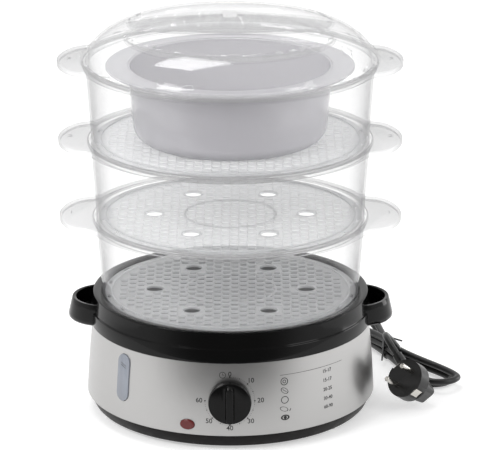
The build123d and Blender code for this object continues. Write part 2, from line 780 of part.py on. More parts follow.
switched_wire = tube([
    timer_tab,
    timer_tab + Vector(0, 15.0, 0),
    Vector(16.0, -70.0, pan_floor_top + 8.4),
    Vector(-2.0, -35.0, pan_floor_top + 8.4),
    Vector(-tab_across, -tab_width / 2 - wire_reach, tab_height),
    Vector(-tab_across, -tab_width / 2, tab_height),
], wire_diameter, "switched_wire")
save(switched_wire, "switched_wire")

fuse_wire_in = tube([
    fuse_center + Vector(0, fuse_length / 2, 0),
    fuse_center + Vector(0, fuse_length / 2 + wire_reach, 0),
    Vector(14.5, 23.0, tab_height + 2.0),
    tab_edge + Vector(0, wire_reach, 0),
    tab_edge,
], wire_diameter, "fuse_wire_in")
save(fuse_wire_in, "fuse_wire_in")

fuse_wire_out = tube([
    fuse_center - Vector(0, fuse_length / 2, 0),
    fuse_center - Vector(0, fuse_length / 2 + wire_reach, 0),
    Vector(19.5, -31.0, element_height - 0.6),
    pin_one - Vector(0, wire_reach, 0),
    pin_one,
], wire_diameter, "fuse_wire_out")
save(fuse_wire_out, "fuse_wire_out")

neutral_wire = tube([
    Vector(9.0, block_face, block_height),
    Vector(9.0, block_face - 17.0, block_height),
    Vector(14.0, -22.0, pan_floor_top + 6.4),
    Vector(13.0, -40.0, element_height - 8.0),
    pin_two + end_heading * 17.0,
    pin_two,
], wire_diameter, "neutral_wire")
save(neutral_wire, "neutral_wire")

bracket_back = -timer_face + bracket_sheet
earth_wire = tube([
    Vector(0, block_face, block_height),
    Vector(0, block_face - 18.0, block_height),
    Vector(-12.0, -20.0, pan_floor_top + 3.0),
    Vector(-15.0, -78.0, pan_floor_top + 3.0),
    Vector(-15.5, bracket_back + 16.0, pan_floor_top + 8.4),
    Vector(-15.5, bracket_back, pan_floor_top + 8.4),
], wire_diameter, "earth_wire")
save(earth_wire, "earth_wire")

lamp_lead = tube([
    holder_back.origin,
    holder_back.origin - holder_back.z_dir * 15.0,
    Vector(-36.0, -62.0, pan_floor_top + 5.0),
    Vector(-38.0, -10.0, pan_floor_top + 3.4),
    Vector(-13.2, block_face - 16.0, pan_floor_top + 3.0),
    Vector(-13.2, block_face, pan_floor_top + 3.0),
], lamp_lead_diameter, "lamp_lead")
save(lamp_lead, "lamp_lead")

# Cord gland: grooved sleeve in the back of the skirt with a tapered, ribbed tail
gland_radius = 6.0
gland_wall_out = skirt_radius(gland_height)
with BuildPart() as cord_gland:
    gland_place = Plane(origin=(0, 0, gland_height), x_dir=(0, 1, 0), z_dir=(1, 0, 0))
    with BuildSketch(gland_place) as gland_section:
        with BuildLine():
            Polyline(
                (gland_inner_end, 0),
                (gland_inner_end, 4.6),
                (gland_wall_out - sheet_thickness - 3.4, gland_radius),
                (gland_wall_out - sheet_thickness - 3.4, gland_radius + 2.4),
                (gland_wall_out - sheet_thickness - 0.6, gland_radius + 2.4),
                (gland_wall_out - sheet_thickness - 0.6, gland_radius),
                (gland_wall_out + 0.6, gland_radius),
                (gland_wall_out + 0.6, gland_radius + 2.4),
                (gland_wall_out + 2.6, gland_radius + 2.0),
                (gland_wall_out + 2.6, gland_radius - 0.4),
                (gland_wall_out + 4.6, gland_radius - 0.4),
                (gland_wall_out + 4.6, gland_radius - 1.2),
                (gland_wall_out + 5.8, gland_radius - 1.2),
                (gland_wall_out + 5.8, gland_radius - 0.7),
                (gland_wall_out + 7.8, gland_radius - 0.8),
                (gland_wall_out + 7.8, gland_radius - 1.6),
                (gland_wall_out + 9.0, gland_radius - 1.6),
                (gland_wall_out + 9.0, gland_radius - 1.1),
                (sleeve_tip, gland_radius - 1.8),
                (sleeve_tip, 0),
                close=True)
        make_face()
    revolve(gland_section.sketch, axis=Axis((0, 0, gland_height), (0, 1, 0)))
save(cord_gland, "cord_gland")


# Baskets: each a tapered clear wall with a seat for its floor, a nest for the piece above, and a
# flat rim that runs out into two broad lobes for the hands
def rim_outline(radius, inset=0):
    # One quarter runs ring, blend, corner, tip, all arcs that touch; the other three mirror it
    ring = radius - inset
    blend = lobe_blend + inset
    corner = lobe_corner_radius - inset
    tip_center = Vector(lobe_reach - lobe_tip_radius, 0)
    corner_across = lobe_half_width - lobe_corner_radius
    corner_out = math.sqrt((lobe_tip_radius - lobe_corner_radius) ** 2 - corner_across ** 2)
    corner_center = tip_center + Vector(corner_out, corner_across)
    far = corner_center.length
    spread = math.acos(((ring + blend) ** 2 + far ** 2 - (corner + blend) ** 2)
                       / (2 * (ring + blend) * far))
    turn = math.atan2(corner_center.Y, corner_center.X) + spread
    heading = Vector(math.cos(turn), math.sin(turn))
    blend_center = heading * (ring + blend)
    on_ring = heading * ring
    on_corner = corner_center + (blend_center - corner_center).normalized() * corner
    on_tip = corner_center + (corner_center - tip_center).normalized() * corner
    blend_middle = blend_center + ((on_ring + on_corner) * 0.5 - blend_center).normalized() * blend
    corner_middle = corner_center + ((on_corner + on_tip) * 0.5 - corner_center).normalized() * corner
    with BuildSketch() as outline:
        with BuildLine():
            for x in (1, -1):
                for y in (1, -1):
                    ThreePointArc((x * on_ring.X, y * on_ring.Y), (x * blend_middle.X, y * blend_middle.Y),
                                  (x * on_corner.X, y * on_corner.Y))
                    ThreePointArc((x * on_corner.X, y * on_corner.Y),
                                  (x * corner_middle.X, y * corner_middle.Y),
                                  (x * on_tip.X, y * on_tip.Y))
                ThreePointArc((x * on_tip.X, on_tip.Y), (x * (lobe_reach - inset), 0),
                              (x * on_tip.X, -on_tip.Y))
                ThreePointArc((on_ring.X, x * on_ring.Y), (0, x * ring), (-on_ring.X, x * on_ring.Y))
        make_face()
    return outline.sketch


def slot_places(reach):
    # Steam slots in staggered columns, clear of the edge and of the egg holes
    eggs = [(egg_ring_radius * math.cos(math.radians(60 * number)),
             egg_ring_radius * math.sin(math.radians(60 * number))) for number in range(6)]
    places = []
    columns = int(reach // slot_pitch_across) + 1
    rows = int(reach // slot_pitch_along) + 1
    for column in range(-columns, columns + 1):
        for row in range(-rows, rows + 1):
            x = column * slot_pitch_across
            y = (row + 0.5 * (column % 2)) * slot_pitch_along
            in_plate = math.hypot(x, y) < reach - slot_length / 2 - 4.0
            off_eggs = all(math.hypot(max(abs(x - a) - slot_length / 2, 0), y - b)
                           > egg_hole_radius + slot_width / 2 + 1.5 for a, b in eggs)
            if in_plate and off_eggs:
                places.append((x, y))
    return places


next_radii = basket_bottom_radii[1:] + [lid_lip_radius]
for index in range(len(basket_bottom_radii)):
    bottom = first_basket_height + index * basket_pitch
    ledge = bottom + basket_pitch
    top = ledge + nest_depth
    bottom_radius = basket_bottom_radii[index]
    top_radius = basket_top_radii[index]
    bore = next_radii[index] + nest_clearance
    ring_radius = bore + basket_wall
    plate_radius = bottom_radius - basket_wall - running_gap
    floor_radius = plate_radius - gutter_width
    seat_radius = bottom_radius - basket_wall - floor_seat_width
    rim_low = top - rim_thickness
    with BuildPart() as basket:
        turn_profile([
            (seat_radius, bottom),
            (bottom_radius, bottom),
            (top_radius, ledge - basket_wall),
            (ring_radius, ledge - basket_wall),
            (ring_radius, rim_low - rim_seat_depth),
            (ring_radius + rim_seat_width, rim_low - rim_seat_depth),
            (ring_radius + rim_seat_width, rim_low),
            (ring_radius, rim_low),
            (ring_radius, top),
            (bore, top),
            (bore, ledge),
            (top_radius - basket_wall, ledge),
            (bottom_radius - basket_wall, bottom + basket_wall),
            (seat_radius, bottom + basket_wall),
        ])
    save(basket, "basket_" + str(index + 1))

    # The rim sits on the bead round the wall and carries both lobes
    rim = rim_outline(flange_radii[index])
    inner_rim = rim_outline(flange_radii[index], rim_lip_width)
    with BuildPart() as basket_rim:
        with BuildSketch(Plane.XY.offset(rim_low)) as rim_face:
            add(rim)
            Circle(ring_radius + rim_gap, mode=Mode.SUBTRACT)
        extrude(rim_face.sketch, amount=rim_thickness)
        with BuildSketch(Plane.XY.offset(top - rim_lip_depth)) as lip_face:
            add(rim)
            add(inner_rim, mode=Mode.SUBTRACT)
        extrude(lip_face.sketch, amount=rim_lip_depth)
    save(basket_rim, "basket_" + str(index + 1) + "_rim")

    # The floor is its own plate on the ledge of the wall, with a slotted gutter outside its bead
    plate_low = bottom + basket_wall
    with BuildPart() as basket_floor:
        with BuildSketch(Plane.XY.offset(plate_low)) as plate:
            Circle(plate_radius)
            with PolarLocations(egg_ring_radius, 6):
                Circle(egg_hole_radius, mode=Mode.SUBTRACT)
            with Locations(*slot_places(floor_radius)):
                Rectangle(slot_length, slot_width, mode=Mode.SUBTRACT)
            with PolarLocations(floor_radius + gutter_width / 2, gutter_slots, start_angle=10):
                Rectangle(2.6, 9.0, mode=Mode.SUBTRACT)
        extrude(plate.sketch, amount=floor_thickness)
        disc_ring(floor_radius, floor_radius - 1.6, plate_low,
                  plate_low + floor_thickness + bead_height)
    save(basket_floor, "basket_" + str(index + 1) + "_floor")

# Rice bowl: stands on the top floor, with a broad flange ring on a bead to lift it by
last_bottom = first_basket_height + (len(basket_bottom_radii) - 1) * basket_pitch
bowl_bottom = last_bottom + basket_wall + floor_thickness
bowl_top = bowl_bottom + bowl_height
bowl_foot_radius = bowl_radius - 5.0
flange_low = bowl_top - bowl_wall
with BuildPart() as rice_bowl:
    turn_profile([
        (0, bowl_bottom),
        (bowl_foot_radius, bowl_bottom),
        (bowl_radius, flange_low - 1.6),
        (bowl_radius + 1.2, flange_low - 1.6),
        (bowl_radius + 1.2, flange_low),
        (bowl_radius, flange_low),
        (bowl_radius, bowl_top),
        (bowl_radius - bowl_wall, bowl_top),
        (bowl_foot_radius - bowl_wall, bowl_bottom + bowl_wall),
        (0, bowl_bottom + bowl_wall),
    ], rounds={1: 14.0, 8: 14.0 - bowl_wall})
save(rice_bowl, "rice_bowl")

with BuildPart() as bowl_flange:
    disc_ring(bowl_flange_radius, bowl_radius + rim_gap, flange_low, bowl_top)
save(bowl_flange, "bowl_flange")

# Lid: a domed cover whose crown is cut by two scoops, leaving a ridge between them as the grip
lid_seat = last_bottom + basket_pitch + nest_depth
lid_low = lid_seat - nest_depth + 0.5
lid_flange_radius = flange_radii[-1] - 1.0


def crown_height(radius, fall):
    rise = lid_crown_height - scoop_ring_height
    ball = (scoop_ring_radius ** 2 + rise ** 2) / (2 * rise)
    return lid_crown_height - fall - ball + math.sqrt(ball ** 2 - radius ** 2)


def scoops(grow, floor_height, corner, soft):
    # The scoops as solids to cut away, grown and lowered for the inner side of the wall
    tip = math.sqrt(scoop_ring_radius ** 2 - ridge_end_half_width ** 2)
    with BuildPart() as cutters:
        for side in (-1, 1):
            with BuildSketch(Plane.XY.offset(floor_height)) as hollow:
                with BuildLine():
                    ThreePointArc((-tip, side * ridge_end_half_width), (0, side * ridge_half_width),
                                  (tip, side * ridge_end_half_width))
                    ThreePointArc((tip, side * ridge_end_half_width), (0, side * scoop_ring_radius),
                                  (-tip, side * ridge_end_half_width))
                make_face()
                fillet(hollow.vertices(), corner)
                if grow > 0:
                    offset(hollow.sketch, amount=grow, mode=Mode.REPLACE)
            extrude(hollow.sketch, amount=40)
        fillet(cutters.edges().group_by(Axis.Z)[0], soft)
    return cutters.part


outer_scoops = scoops(0, scoop_floor_height, 6.0, 4.0)
inner_scoops = scoops(lid_wall, scoop_floor_height - lid_wall, 6.0, 6.0)
with BuildPart() as lid_inside:
    with BuildSketch(Plane.XZ) as inside_section:
        with BuildLine():
            Polyline((0, crown_height(0, lid_wall)), (0, lid_low - 1),
                     (lid_lip_radius - lid_wall, lid_low - 1), (lid_lip_radius - lid_wall, lid_seat + 5.5))
            ThreePointArc((lid_lip_radius - lid_wall, lid_seat + 5.5),
                          (lid_shoulder[0] - 1.4, lid_shoulder[1] - 1.5),
                          (scoop_ring_radius - 0.8, scoop_ring_height - lid_wall + 0.1))
            ThreePointArc((scoop_ring_radius - 0.8, scoop_ring_height - lid_wall + 0.1),
                          (scoop_ring_radius / 2, crown_height(scoop_ring_radius / 2, lid_wall)),
                          (0, crown_height(0, lid_wall)))
        make_face()
    revolve(inside_section.sketch, axis=Axis.Z)
    add(inner_scoops, mode=Mode.SUBTRACT)

with BuildPart() as lid:
    with BuildSketch(Plane.XZ) as lid_section:
        with BuildLine():
            Polyline((0, lid_crown_height), (0, lid_low), (lid_lip_radius, lid_low),
                     (lid_lip_radius, lid_seat), (lid_flange_radius, lid_seat),
                     (lid_flange_radius, lid_seat + 2.4), (lid_radius + 0.6, lid_seat + 3.0),
                     (lid_radius, lid_seat + 6.0))
            ThreePointArc((lid_radius, lid_seat + 6.0), lid_shoulder,
                          (scoop_ring_radius, scoop_ring_height))
            ThreePointArc((scoop_ring_radius, scoop_ring_height),
                          (scoop_ring_radius / 2, crown_height(scoop_ring_radius / 2, 0)),
                          (0, lid_crown_height))
        make_face()
    revolve(lid_section.sketch, axis=Axis.Z)
    add(outer_scoops, mode=Mode.SUBTRACT)
    add(lid_inside.part, mode=Mode.SUBTRACT)
    with BuildSketch(Plane.XY.offset(lid_seat + 3)) as vents:
        for number in (-1, 0, 1):
            with PolarLocations(vent_ring_radius, 1, start_angle=lid_turn + number * vent_spacing):
                Circle(vent_radius)
    extrude(vents.sketch, amount=30, mode=Mode.SUBTRACT)
    with BuildSketch(Plane.XY.offset(lid_crown_height - 5.0)) as band:
        RectangleRounded(12.5, 2 * ridge_half_width + 1.0, 1.0)
    extrude(band.sketch, amount=5.6)
save(lid, "lid")

# Power cord: out of the gland, round behind the base, into the hank
hank_across = Vector(-hank_direction.Y, hank_direction.X, 0)


def hank_point(along, across, height):
    return hank_center + hank_direction * along + hank_across * across + Vector(0, 0, height)


table_height = cord_diameter / 2 + 0.1
layer_step = cord_diameter + 0.7
strand_half_gap = cord_diameter / 2 + 0.5
tie_lift = 1.3
fold_radius = 3 * cord_diameter
hank_start = hank_point(-70, -strand_half_gap, table_height)
power_cord = tube([
    Vector(0, sleeve_tip, gland_height),
    Vector(0, sleeve_tip + 40, gland_height),
    Vector(10, sleeve_tip + 70, 9),
    Vector(40, sleeve_tip + 91, table_height + 0.1),
    Vector(76, sleeve_tip + 95, table_height + 0.1),
    hank_start - hank_direction * 48.9,
    hank_start,
], cord_diameter, "power_cord")
save(power_cord, "power_cord")


# Hank: the long rest of the cord wound to and fro in loops, each turn two arcs between knots
def layer(number, lift=0.0):
    return table_height + number * layer_step + lift


knots = [
    (-70, -strand_half_gap, layer(0), (1, 0)),
    (0, -strand_half_gap, layer(0, tie_lift), (1, 0)),
    (72, 9.5 - fold_radius, layer(0), (1, 0)),
    (72 + fold_radius, 9.5, layer(0), (0, 1)),
    (72, 9.5 + fold_radius, layer(0), (-1, 0)),
    (0, strand_half_gap, layer(0, tie_lift), (-1, 0)),
    (-72, fold_radius, layer(1), (-1, 0)),
    (-72 - fold_radius, 0, layer(1), (0, -1)),
    (-72, -fold_radius, layer(1), (1, 0)),
    (0, -strand_half_gap, layer(1, tie_lift), (1, 0)),
    (86, 9.5 - fold_radius, layer(1), (1, 0)),
    (86 + fold_radius, 9.5, layer(1), (0, 1)),
    (86, 9.5 + fold_radius, layer(1), (-1, 0)),
    (0, strand_half_gap, layer(1, tie_lift), (-1, 0)),
    (-72, fold_radius, layer(2), (-1, 0)),
    (-72 - fold_radius, 0, layer(2), (0, -1)),
    (-72, -fold_radius, layer(2), (1, 0)),
    (0, -strand_half_gap, layer(2, tie_lift), (1, 0)),
    (8, -strand_half_gap, layer(2, tie_lift), (1, 0)),
]


def arc_or_line(start, end, heading):
    if heading.cross(end - start).length < 1e-6:
        Line(start, end)
    else:
        TangentArc(start, end, tangent=heading)


def two_arcs(start, start_heading, end, end_heading):
    # Both arcs take the same tangent length, which sets where they meet
    span = end - start
    both = start_heading + end_heading
    spread = 2 * (1 - start_heading.dot(end_heading))
    if spread < 1e-9:
        reach = span.dot(span) / (4 * span.dot(end_heading))
    else:
        pull = span.dot(both)
        reach = (math.sqrt(pull ** 2 + spread * span.dot(span)) - pull) / spread
    first = start + start_heading * reach
    second = end - end_heading * reach
    meeting = (first + second) * 0.5
    arc_or_line(start, meeting, start_heading)
    arc_or_line(meeting, end, (second - first).normalized())


with BuildPart() as cord_hank:
    with BuildLine() as hank_route:
        for here, there in zip(knots, knots[1:]):
            here_heading = hank_direction * here[3][0] + hank_across * here[3][1]
            there_heading = hank_direction * there[3][0] + hank_across * there[3][1]
            two_arcs(hank_point(*here[:3]), here_heading.normalized(),
                     hank_point(*there[:3]), there_heading.normalized())
    hank_wire = hank_route.wire()
    with BuildSketch(Plane(origin=hank_start, z_dir=hank_direction)) as hank_section:
        Circle(cord_diameter / 2)
    sweep(hank_section.sketch, path=hank_wire)
save(cord_hank, "cord_hank")

samples = 900
hank_points = [tuple(hank_wire.position_at(number / samples)) for number in range(samples + 1)]
step = hank_wire.length / samples
apart = int(40 / step)
least_gap = min(math.dist(hank_points[a], hank_points[b])
                for a in range(samples + 1) for b in range(a + apart, samples + 1)) - cord_diameter
print("hank length", round(hank_wire.length, 1), "least gap to itself", round(least_gap, 2),
      "volume over section times length",
      round(cord_hank.part.volume / (math.pi * cord_diameter ** 2 / 4 * hank_wire.length), 4))

# Plug frame: the pins stand along one line on its face, and the cord leaves across that line
plug_normal = Vector(-0.54, -0.63, 0.55).normalized()
pin_line = Vector(0.73, -0.02, 0.69)
pin_line = (pin_line - plug_normal * pin_line.dot(plug_normal)).normalized()
cord_side = plug_normal.cross(pin_line)
plug_face = Plane(origin=plug_face_center, x_dir=pin_line, z_dir=plug_normal)
head_depth = 14.0
neck_depth = 22.0
neck_reach = 40.0
neck_start = plug_face_center - plug_normal * neck_depth
plug_cord_end = neck_start + cord_side * neck_reach
hank_end = hank_point(*knots[-1][:3])
cord_plug_lead = tube([
    hank_end,
    hank_end + hank_direction * 14.6,
    Vector(159.2, 74.6, 24.9),
    Vector(146.1, 58.5, 44.9),
    plug_cord_end + cord_side * 23.0,
    plug_cord_end,
], cord_diameter, "cord_plug_lead")
save(cord_plug_lead, "cord_plug_lead")


# Tie: a thin band hugging the pile, with its two twisted wire ends
def pile_hull(margin):
    heights = [layer(0, tie_lift), layer(1, tie_lift), layer(2, tie_lift)]
    with BuildSketch() as hull:
        with Locations((-strand_half_gap, heights[0]), (strand_half_gap, heights[0]),
                       (strand_half_gap, heights[1]), (-strand_half_gap, heights[2])):
            Circle(cord_diameter / 2 + margin)
        make_hull()
    return hull.sketch


tie_gap = 0.35
tie_thickness = 0.8
tie_width = 4.0
outer_hull = pile_hull(tie_gap + tie_thickness)
inner_hull = pile_hull(tie_gap)
tie_top = layer(2, tie_lift) + cord_diameter / 2 + tie_gap + tie_thickness / 2
tie_left = -strand_half_gap - cord_diameter / 2 - tie_gap - tie_thickness / 2
with BuildPart() as cord_tie:
    tie_plane = Plane(origin=hank_point(-tie_width / 2, 0, 0), x_dir=hank_across, z_dir=hank_direction)
    with BuildSketch(tie_plane) as tie_band:
        add(outer_hull)
        add(inner_hull, mode=Mode.SUBTRACT)
    extrude(tie_band.sketch, amount=tie_width)
    for tail_start, tail_end in (
            (hank_point(0, -strand_half_gap + 1, tie_top), hank_point(22, 1.5, tie_top + 2.5)),
            (hank_point(0, tie_left, 12), hank_point(15, -16, 5))):
        with BuildSketch(Plane(origin=tail_start, z_dir=tail_end - tail_start)) as tail:
            Circle(0.8)
        extrude(tail.sketch, amount=(tail_end - tail_start).length)
save(cord_tie, "cord_tie")

# Plug: round face, grip block behind it, side neck for the cord, recesses for the earth clips
clip_width = 8.0
with BuildPart() as plug_body:
    with BuildSketch(plug_face) as face_disc:
        Circle(plug_radius)
    extrude(face_disc.sketch, amount=-head_depth)
    with BuildSketch(plug_face.offset(-head_depth)) as grip_block:
        RectangleRounded(22, 29, 6)
    extrude(grip_block.sketch, amount=-19, taper=6)
    with BuildSketch(Plane(origin=neck_start, x_dir=pin_line, z_dir=cord_side)) as neck:
        Circle(6.2)
    extrude(neck.sketch, amount=neck_reach, taper=2.5)
    with BuildSketch(plug_face) as clip_slots:
        for side in (-1, 1):
            with Locations((0, side * plug_radius)):
                Rectangle(clip_width + 2 * running_gap, 4.0)
    extrude(clip_slots.sketch, amount=-head_depth + 2.0, mode=Mode.SUBTRACT)
    with BuildSketch(plug_face) as pin_bores:
        with Locations((-pin_spacing / 2, 0), (pin_spacing / 2, 0)):
            Circle(pin_radius + screw_gap)
    extrude(pin_bores.sketch, amount=-6.0, mode=Mode.SUBTRACT)
save(plug_body, "plug_body")

with BuildPart() as plug_pins:
    with BuildSketch(plug_face.offset(-6.0)) as pins:
        with Locations((-pin_spacing / 2, 0), (pin_spacing / 2, 0)):
            Circle(pin_radius)
    extrude(pins.sketch, amount=6.0 + pin_length)
save(plug_pins, "plug_pins")

with BuildPart() as plug_earth_clips:
    with BuildSketch(plug_face.offset(-1.0)) as clips:
        for side in (-1, 1):
            with Locations((0, side * (plug_radius - 1.5))):
                Rectangle(clip_width, 1.0)
    extrude(clips.sketch, amount=-head_depth + 3.0)
save(plug_earth_clips, "plug_earth_clips")
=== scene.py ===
import json
import math

import bmesh
import bpy
from mathutils import Matrix, Vector


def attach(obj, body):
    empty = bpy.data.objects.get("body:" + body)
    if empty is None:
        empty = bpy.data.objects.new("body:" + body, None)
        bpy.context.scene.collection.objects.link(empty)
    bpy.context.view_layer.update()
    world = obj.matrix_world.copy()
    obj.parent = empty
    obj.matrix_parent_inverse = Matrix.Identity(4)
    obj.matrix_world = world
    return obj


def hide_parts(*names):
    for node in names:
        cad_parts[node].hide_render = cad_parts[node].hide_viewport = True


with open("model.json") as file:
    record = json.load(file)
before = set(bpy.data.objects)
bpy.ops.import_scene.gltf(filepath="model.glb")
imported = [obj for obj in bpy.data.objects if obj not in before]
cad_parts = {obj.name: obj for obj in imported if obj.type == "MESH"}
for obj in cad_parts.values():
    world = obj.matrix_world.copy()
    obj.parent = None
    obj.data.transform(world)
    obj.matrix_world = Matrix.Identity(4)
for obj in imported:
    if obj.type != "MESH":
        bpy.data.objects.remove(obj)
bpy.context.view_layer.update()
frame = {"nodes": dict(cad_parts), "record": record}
nodes = frame["nodes"]
scene = bpy.context.scene
scene.view_settings.view_transform = "Standard"
print("frame loaded")


# Small helpers for working with operators
def deselectAll():
    if bpy.context.object and bpy.context.object.mode != "OBJECT":
        bpy.ops.object.mode_set(mode="OBJECT")
    bpy.ops.object.select_all(action="DESELECT")


def makeActive(piece):
    deselectAll()
    piece.select_set(True)
    bpy.context.view_layer.objects.active = piece


def applyPlace(piece):
    makeActive(piece)
    bpy.ops.object.transform_apply(location=True, rotation=True, scale=True)


def useModifier(piece, kind, **settings):
    makeActive(piece)
    modifier = piece.modifiers.new(kind.title(), kind)
    for name, value in settings.items():
        setattr(modifier, name, value)
    bpy.ops.object.modifier_apply(modifier=modifier.name)


def smoothFaces(piece, degrees=30):
    makeActive(piece)
    bpy.ops.object.shade_smooth_by_angle(angle=math.radians(degrees))


def wear(piece, material):
    piece.data.materials.clear()
    piece.data.materials.append(material)


def settle(piece, body, slotName, *replaced):
    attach(piece, body)
    if replaced:
        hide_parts(*replaced)


# A node's own mesh is loose triangles, so a merged copy is what gets smooth faces and soft edges
def mergedCopy(nodeName, pieceName, degrees=30):
    piece = bpy.data.objects.new(pieceName, nodes[nodeName].data.copy())
    scene.collection.objects.link(piece)
    makeActive(piece)
    bpy.ops.object.mode_set(mode="EDIT")
    bpy.ops.mesh.select_all(action="SELECT")
    bpy.ops.mesh.remove_doubles(threshold=0.00001)
    bpy.ops.mesh.tris_convert_to_quads(face_threshold=math.radians(1), shape_threshold=math.radians(40))
    bpy.ops.object.mode_set(mode="OBJECT")
    smoothFaces(piece, degrees)
    return piece


# Camera at the photograph's angle: level left to right, looking down on the stack
cameraSet = {"aim": (0.018, 0.0, 0.1716), "distance": 3.0, "elevation": 17.7, "halfWidth": 0.230,
             "near": 0.1, "far": 50}
tilt = math.radians(cameraSet["elevation"])
backward = Vector((0, -math.cos(tilt), math.sin(tilt)))
bpy.ops.object.camera_add(location=Vector(cameraSet["aim"]) + backward * cameraSet["distance"],
                          rotation=(math.pi / 2 - tilt, 0, 0))
camera = bpy.context.object
camera.name = "photoCamera"
camera.data.lens = camera.data.sensor_width / 2 * cameraSet["distance"] / cameraSet["halfWidth"]
camera.data.clip_start = cameraSet["near"]
camera.data.clip_end = cameraSet["far"]
scene.camera = camera
print("camera placed")


# Power cord: straight out of the gland, round behind the base, wound into the tied hank, up to the plug
cordSet = {
    "diameter": 0.0062,
    "exit": (0, 0.14640, 0.028),
    "center": (153.8, 114.0),
    "along": (0.394, -0.919),
    "strandHalfGap": 3.6,
    "table": 3.2,
    "layer": 6.9,
    "lift": 1.3,
    "fold": 18.6,
    "entryRun": 0.0489,
    "exitRun": 0.0146,
}
plugSet = {"normal": (-0.54, -0.63, 0.55), "pinLine": (0.73, -0.02, 0.69), "face": (161.0, -27.0, 31.5),
           "back": 0.022, "side": 0.040, "boot": 0.023}
alongDir = Vector((cordSet["along"][0], cordSet["along"][1], 0))
acrossDir = Vector((-alongDir.y, alongDir.x, 0))


def hankPoint(along, across, height):
    center = Vector((cordSet["center"][0], cordSet["center"][1], 0))
    return (center + alongDir * along + acrossDir * across + Vector((0, 0, height))) / 1000


def foldPoints(along, across, height, side, turning):
    # Corners of half an octagon round the fold, the way a cord is bent by hand
    radius = cordSet["fold"] / math.cos(math.radians(22.5))
    turns = [-67.5, -22.5, 22.5, 67.5]
    if turning < 0:
        turns.reverse()
    return [hankPoint(along + side * radius * math.cos(math.radians(turn)),
                      across + radius * math.sin(math.radians(turn)), height) for turn in turns]


gap = cordSet["strandHalfGap"]
low = cordSet["table"]
step = cordSet["layer"]
lift = cordSet["lift"]
hankStart = hankPoint(-70, -gap, low)
route = [Vector(cordSet["exit"]), Vector((0, 0.1864, 0.028)), Vector((0.010, 0.2164, 0.009)),
         Vector((0.040, 0.2374, 0.0033)), Vector((0.076, 0.2414, 0.0033)),
         hankStart - alongDir * cordSet["entryRun"]]
route += [hankStart, hankPoint(-18, -gap, low + lift), hankPoint(18, -gap, low + lift)]
route += foldPoints(72, 9.5, low, 1, 1)
route += [hankPoint(18, gap, low + lift), hankPoint(-18, gap, low + lift)]
route += foldPoints(-72, 0, low + step, -1, -1)
route += [hankPoint(-18, -gap, low + step + lift), hankPoint(18, -gap, low + step + lift)]
route += foldPoints(86, 9.5, low + step, 1, 1)
route += [hankPoint(18, gap, low + step + lift), hankPoint(-18, gap, low + step + lift)]
route += foldPoints(-72, 0, low + 2 * step, -1, -1)
hankEnd = hankPoint(8, -gap, low + 2 * step + lift)
plugNormal = Vector(plugSet["normal"]).normalized()
pinLine = Vector(plugSet["pinLine"])
pinLine = (pinLine - plugNormal * pinLine.dot(plugNormal)).normalized()
cordSide = plugNormal.cross(pinLine)
plugEnd = Vector(plugSet["face"]) / 1000 - plugNormal * plugSet["back"] + cordSide * plugSet["side"]
route += [hankPoint(-18, -gap, low + 2 * step + lift), hankEnd, hankEnd + alongDir * cordSet["exitRun"],
          Vector((0.1592, 0.0746, 0.0249)), Vector((0.1461, 0.0585, 0.0449)),
          plugEnd + cordSide * plugSet["boot"], plugEnd]


def cordCurve(name, points, diameter):
    line = bpy.data.curves.new(name, "CURVE")
    line.dimensions = "3D"
    line.bevel_depth = diameter / 2
    line.bevel_resolution = 4
    line.resolution_u = 8
    line.use_fill_caps = True
    spline = line.splines.new("NURBS")
    spline.points.add(len(points) - 1)
    for place, point in zip(spline.points, points):
        place.co = (*point, 1)
    spline.order_u = 3
    spline.use_endpoint_u = True
    piece = bpy.data.objects.new(name, line)
    scene.collection.objects.link(piece)
    return piece


powerCord = cordCurve("mainsCord", route, cordSet["diameter"])
print("cord laid")


# Materials. The shared group gives a value and a height that vary over a surface
def makeVariationGroup():
    group = bpy.data.node_groups.new("surfaceVariation", "ShaderNodeTree")
    sockets = group.interface
    for name, value in (("Scale X", 60.0), ("Scale Z", 60.0), ("Low", 0.3), ("High", 0.4)):
        socket = sockets.new_socket(name, in_out="INPUT", socket_type="NodeSocketFloat")
        socket.default_value = value
    sockets.new_socket("Value", in_out="OUTPUT", socket_type="NodeSocketFloat")
    sockets.new_socket("Height", in_out="OUTPUT", socket_type="NodeSocketFloat")
    inside = group.nodes
    start = inside.new("NodeGroupInput")
    end = inside.new("NodeGroupOutput")
    place = inside.new("ShaderNodeTexCoord")
    joined = inside.new("ShaderNodeCombineXYZ")
    scaled = inside.new("ShaderNodeVectorMath")
    scaled.operation = "MULTIPLY"
    noise = inside.new("ShaderNodeTexNoise")
    noise.inputs["Scale"].default_value = 1.0
    noise.inputs["Detail"].default_value = 3.0
    spread = inside.new("ShaderNodeMapRange")
    link = group.links.new
    link(start.outputs["Scale X"], joined.inputs["X"])
    link(start.outputs["Scale X"], joined.inputs["Y"])
    link(start.outputs["Scale Z"], joined.inputs["Z"])
    link(place.outputs["Object"], scaled.inputs[0])
    link(joined.outputs["Vector"], scaled.inputs[1])
    link(scaled.outputs["Vector"], noise.inputs["Vector"])
    link(noise.outputs["Fac"], spread.inputs["Value"])
    link(start.outputs["Low"], spread.inputs["To Min"])
    link(start.outputs["High"], spread.inputs["To Max"])
    link(spread.outputs["Result"], end.inputs["Value"])
    link(noise.outputs["Fac"], end.inputs["Height"])
    return group


variation = makeVariationGroup()


def startMaterial(name, color, roughness, metallic=0.0):
    material = bpy.data.materials.new(name)
    material.use_nodes = True
    shader = material.node_tree.nodes["Principled BSDF"]
    shader.inputs["Base Color"].default_value = (*color, 1)
    shader.inputs["Roughness"].default_value = roughness
    shader.inputs["Metallic"].default_value = metallic
    return material, shader


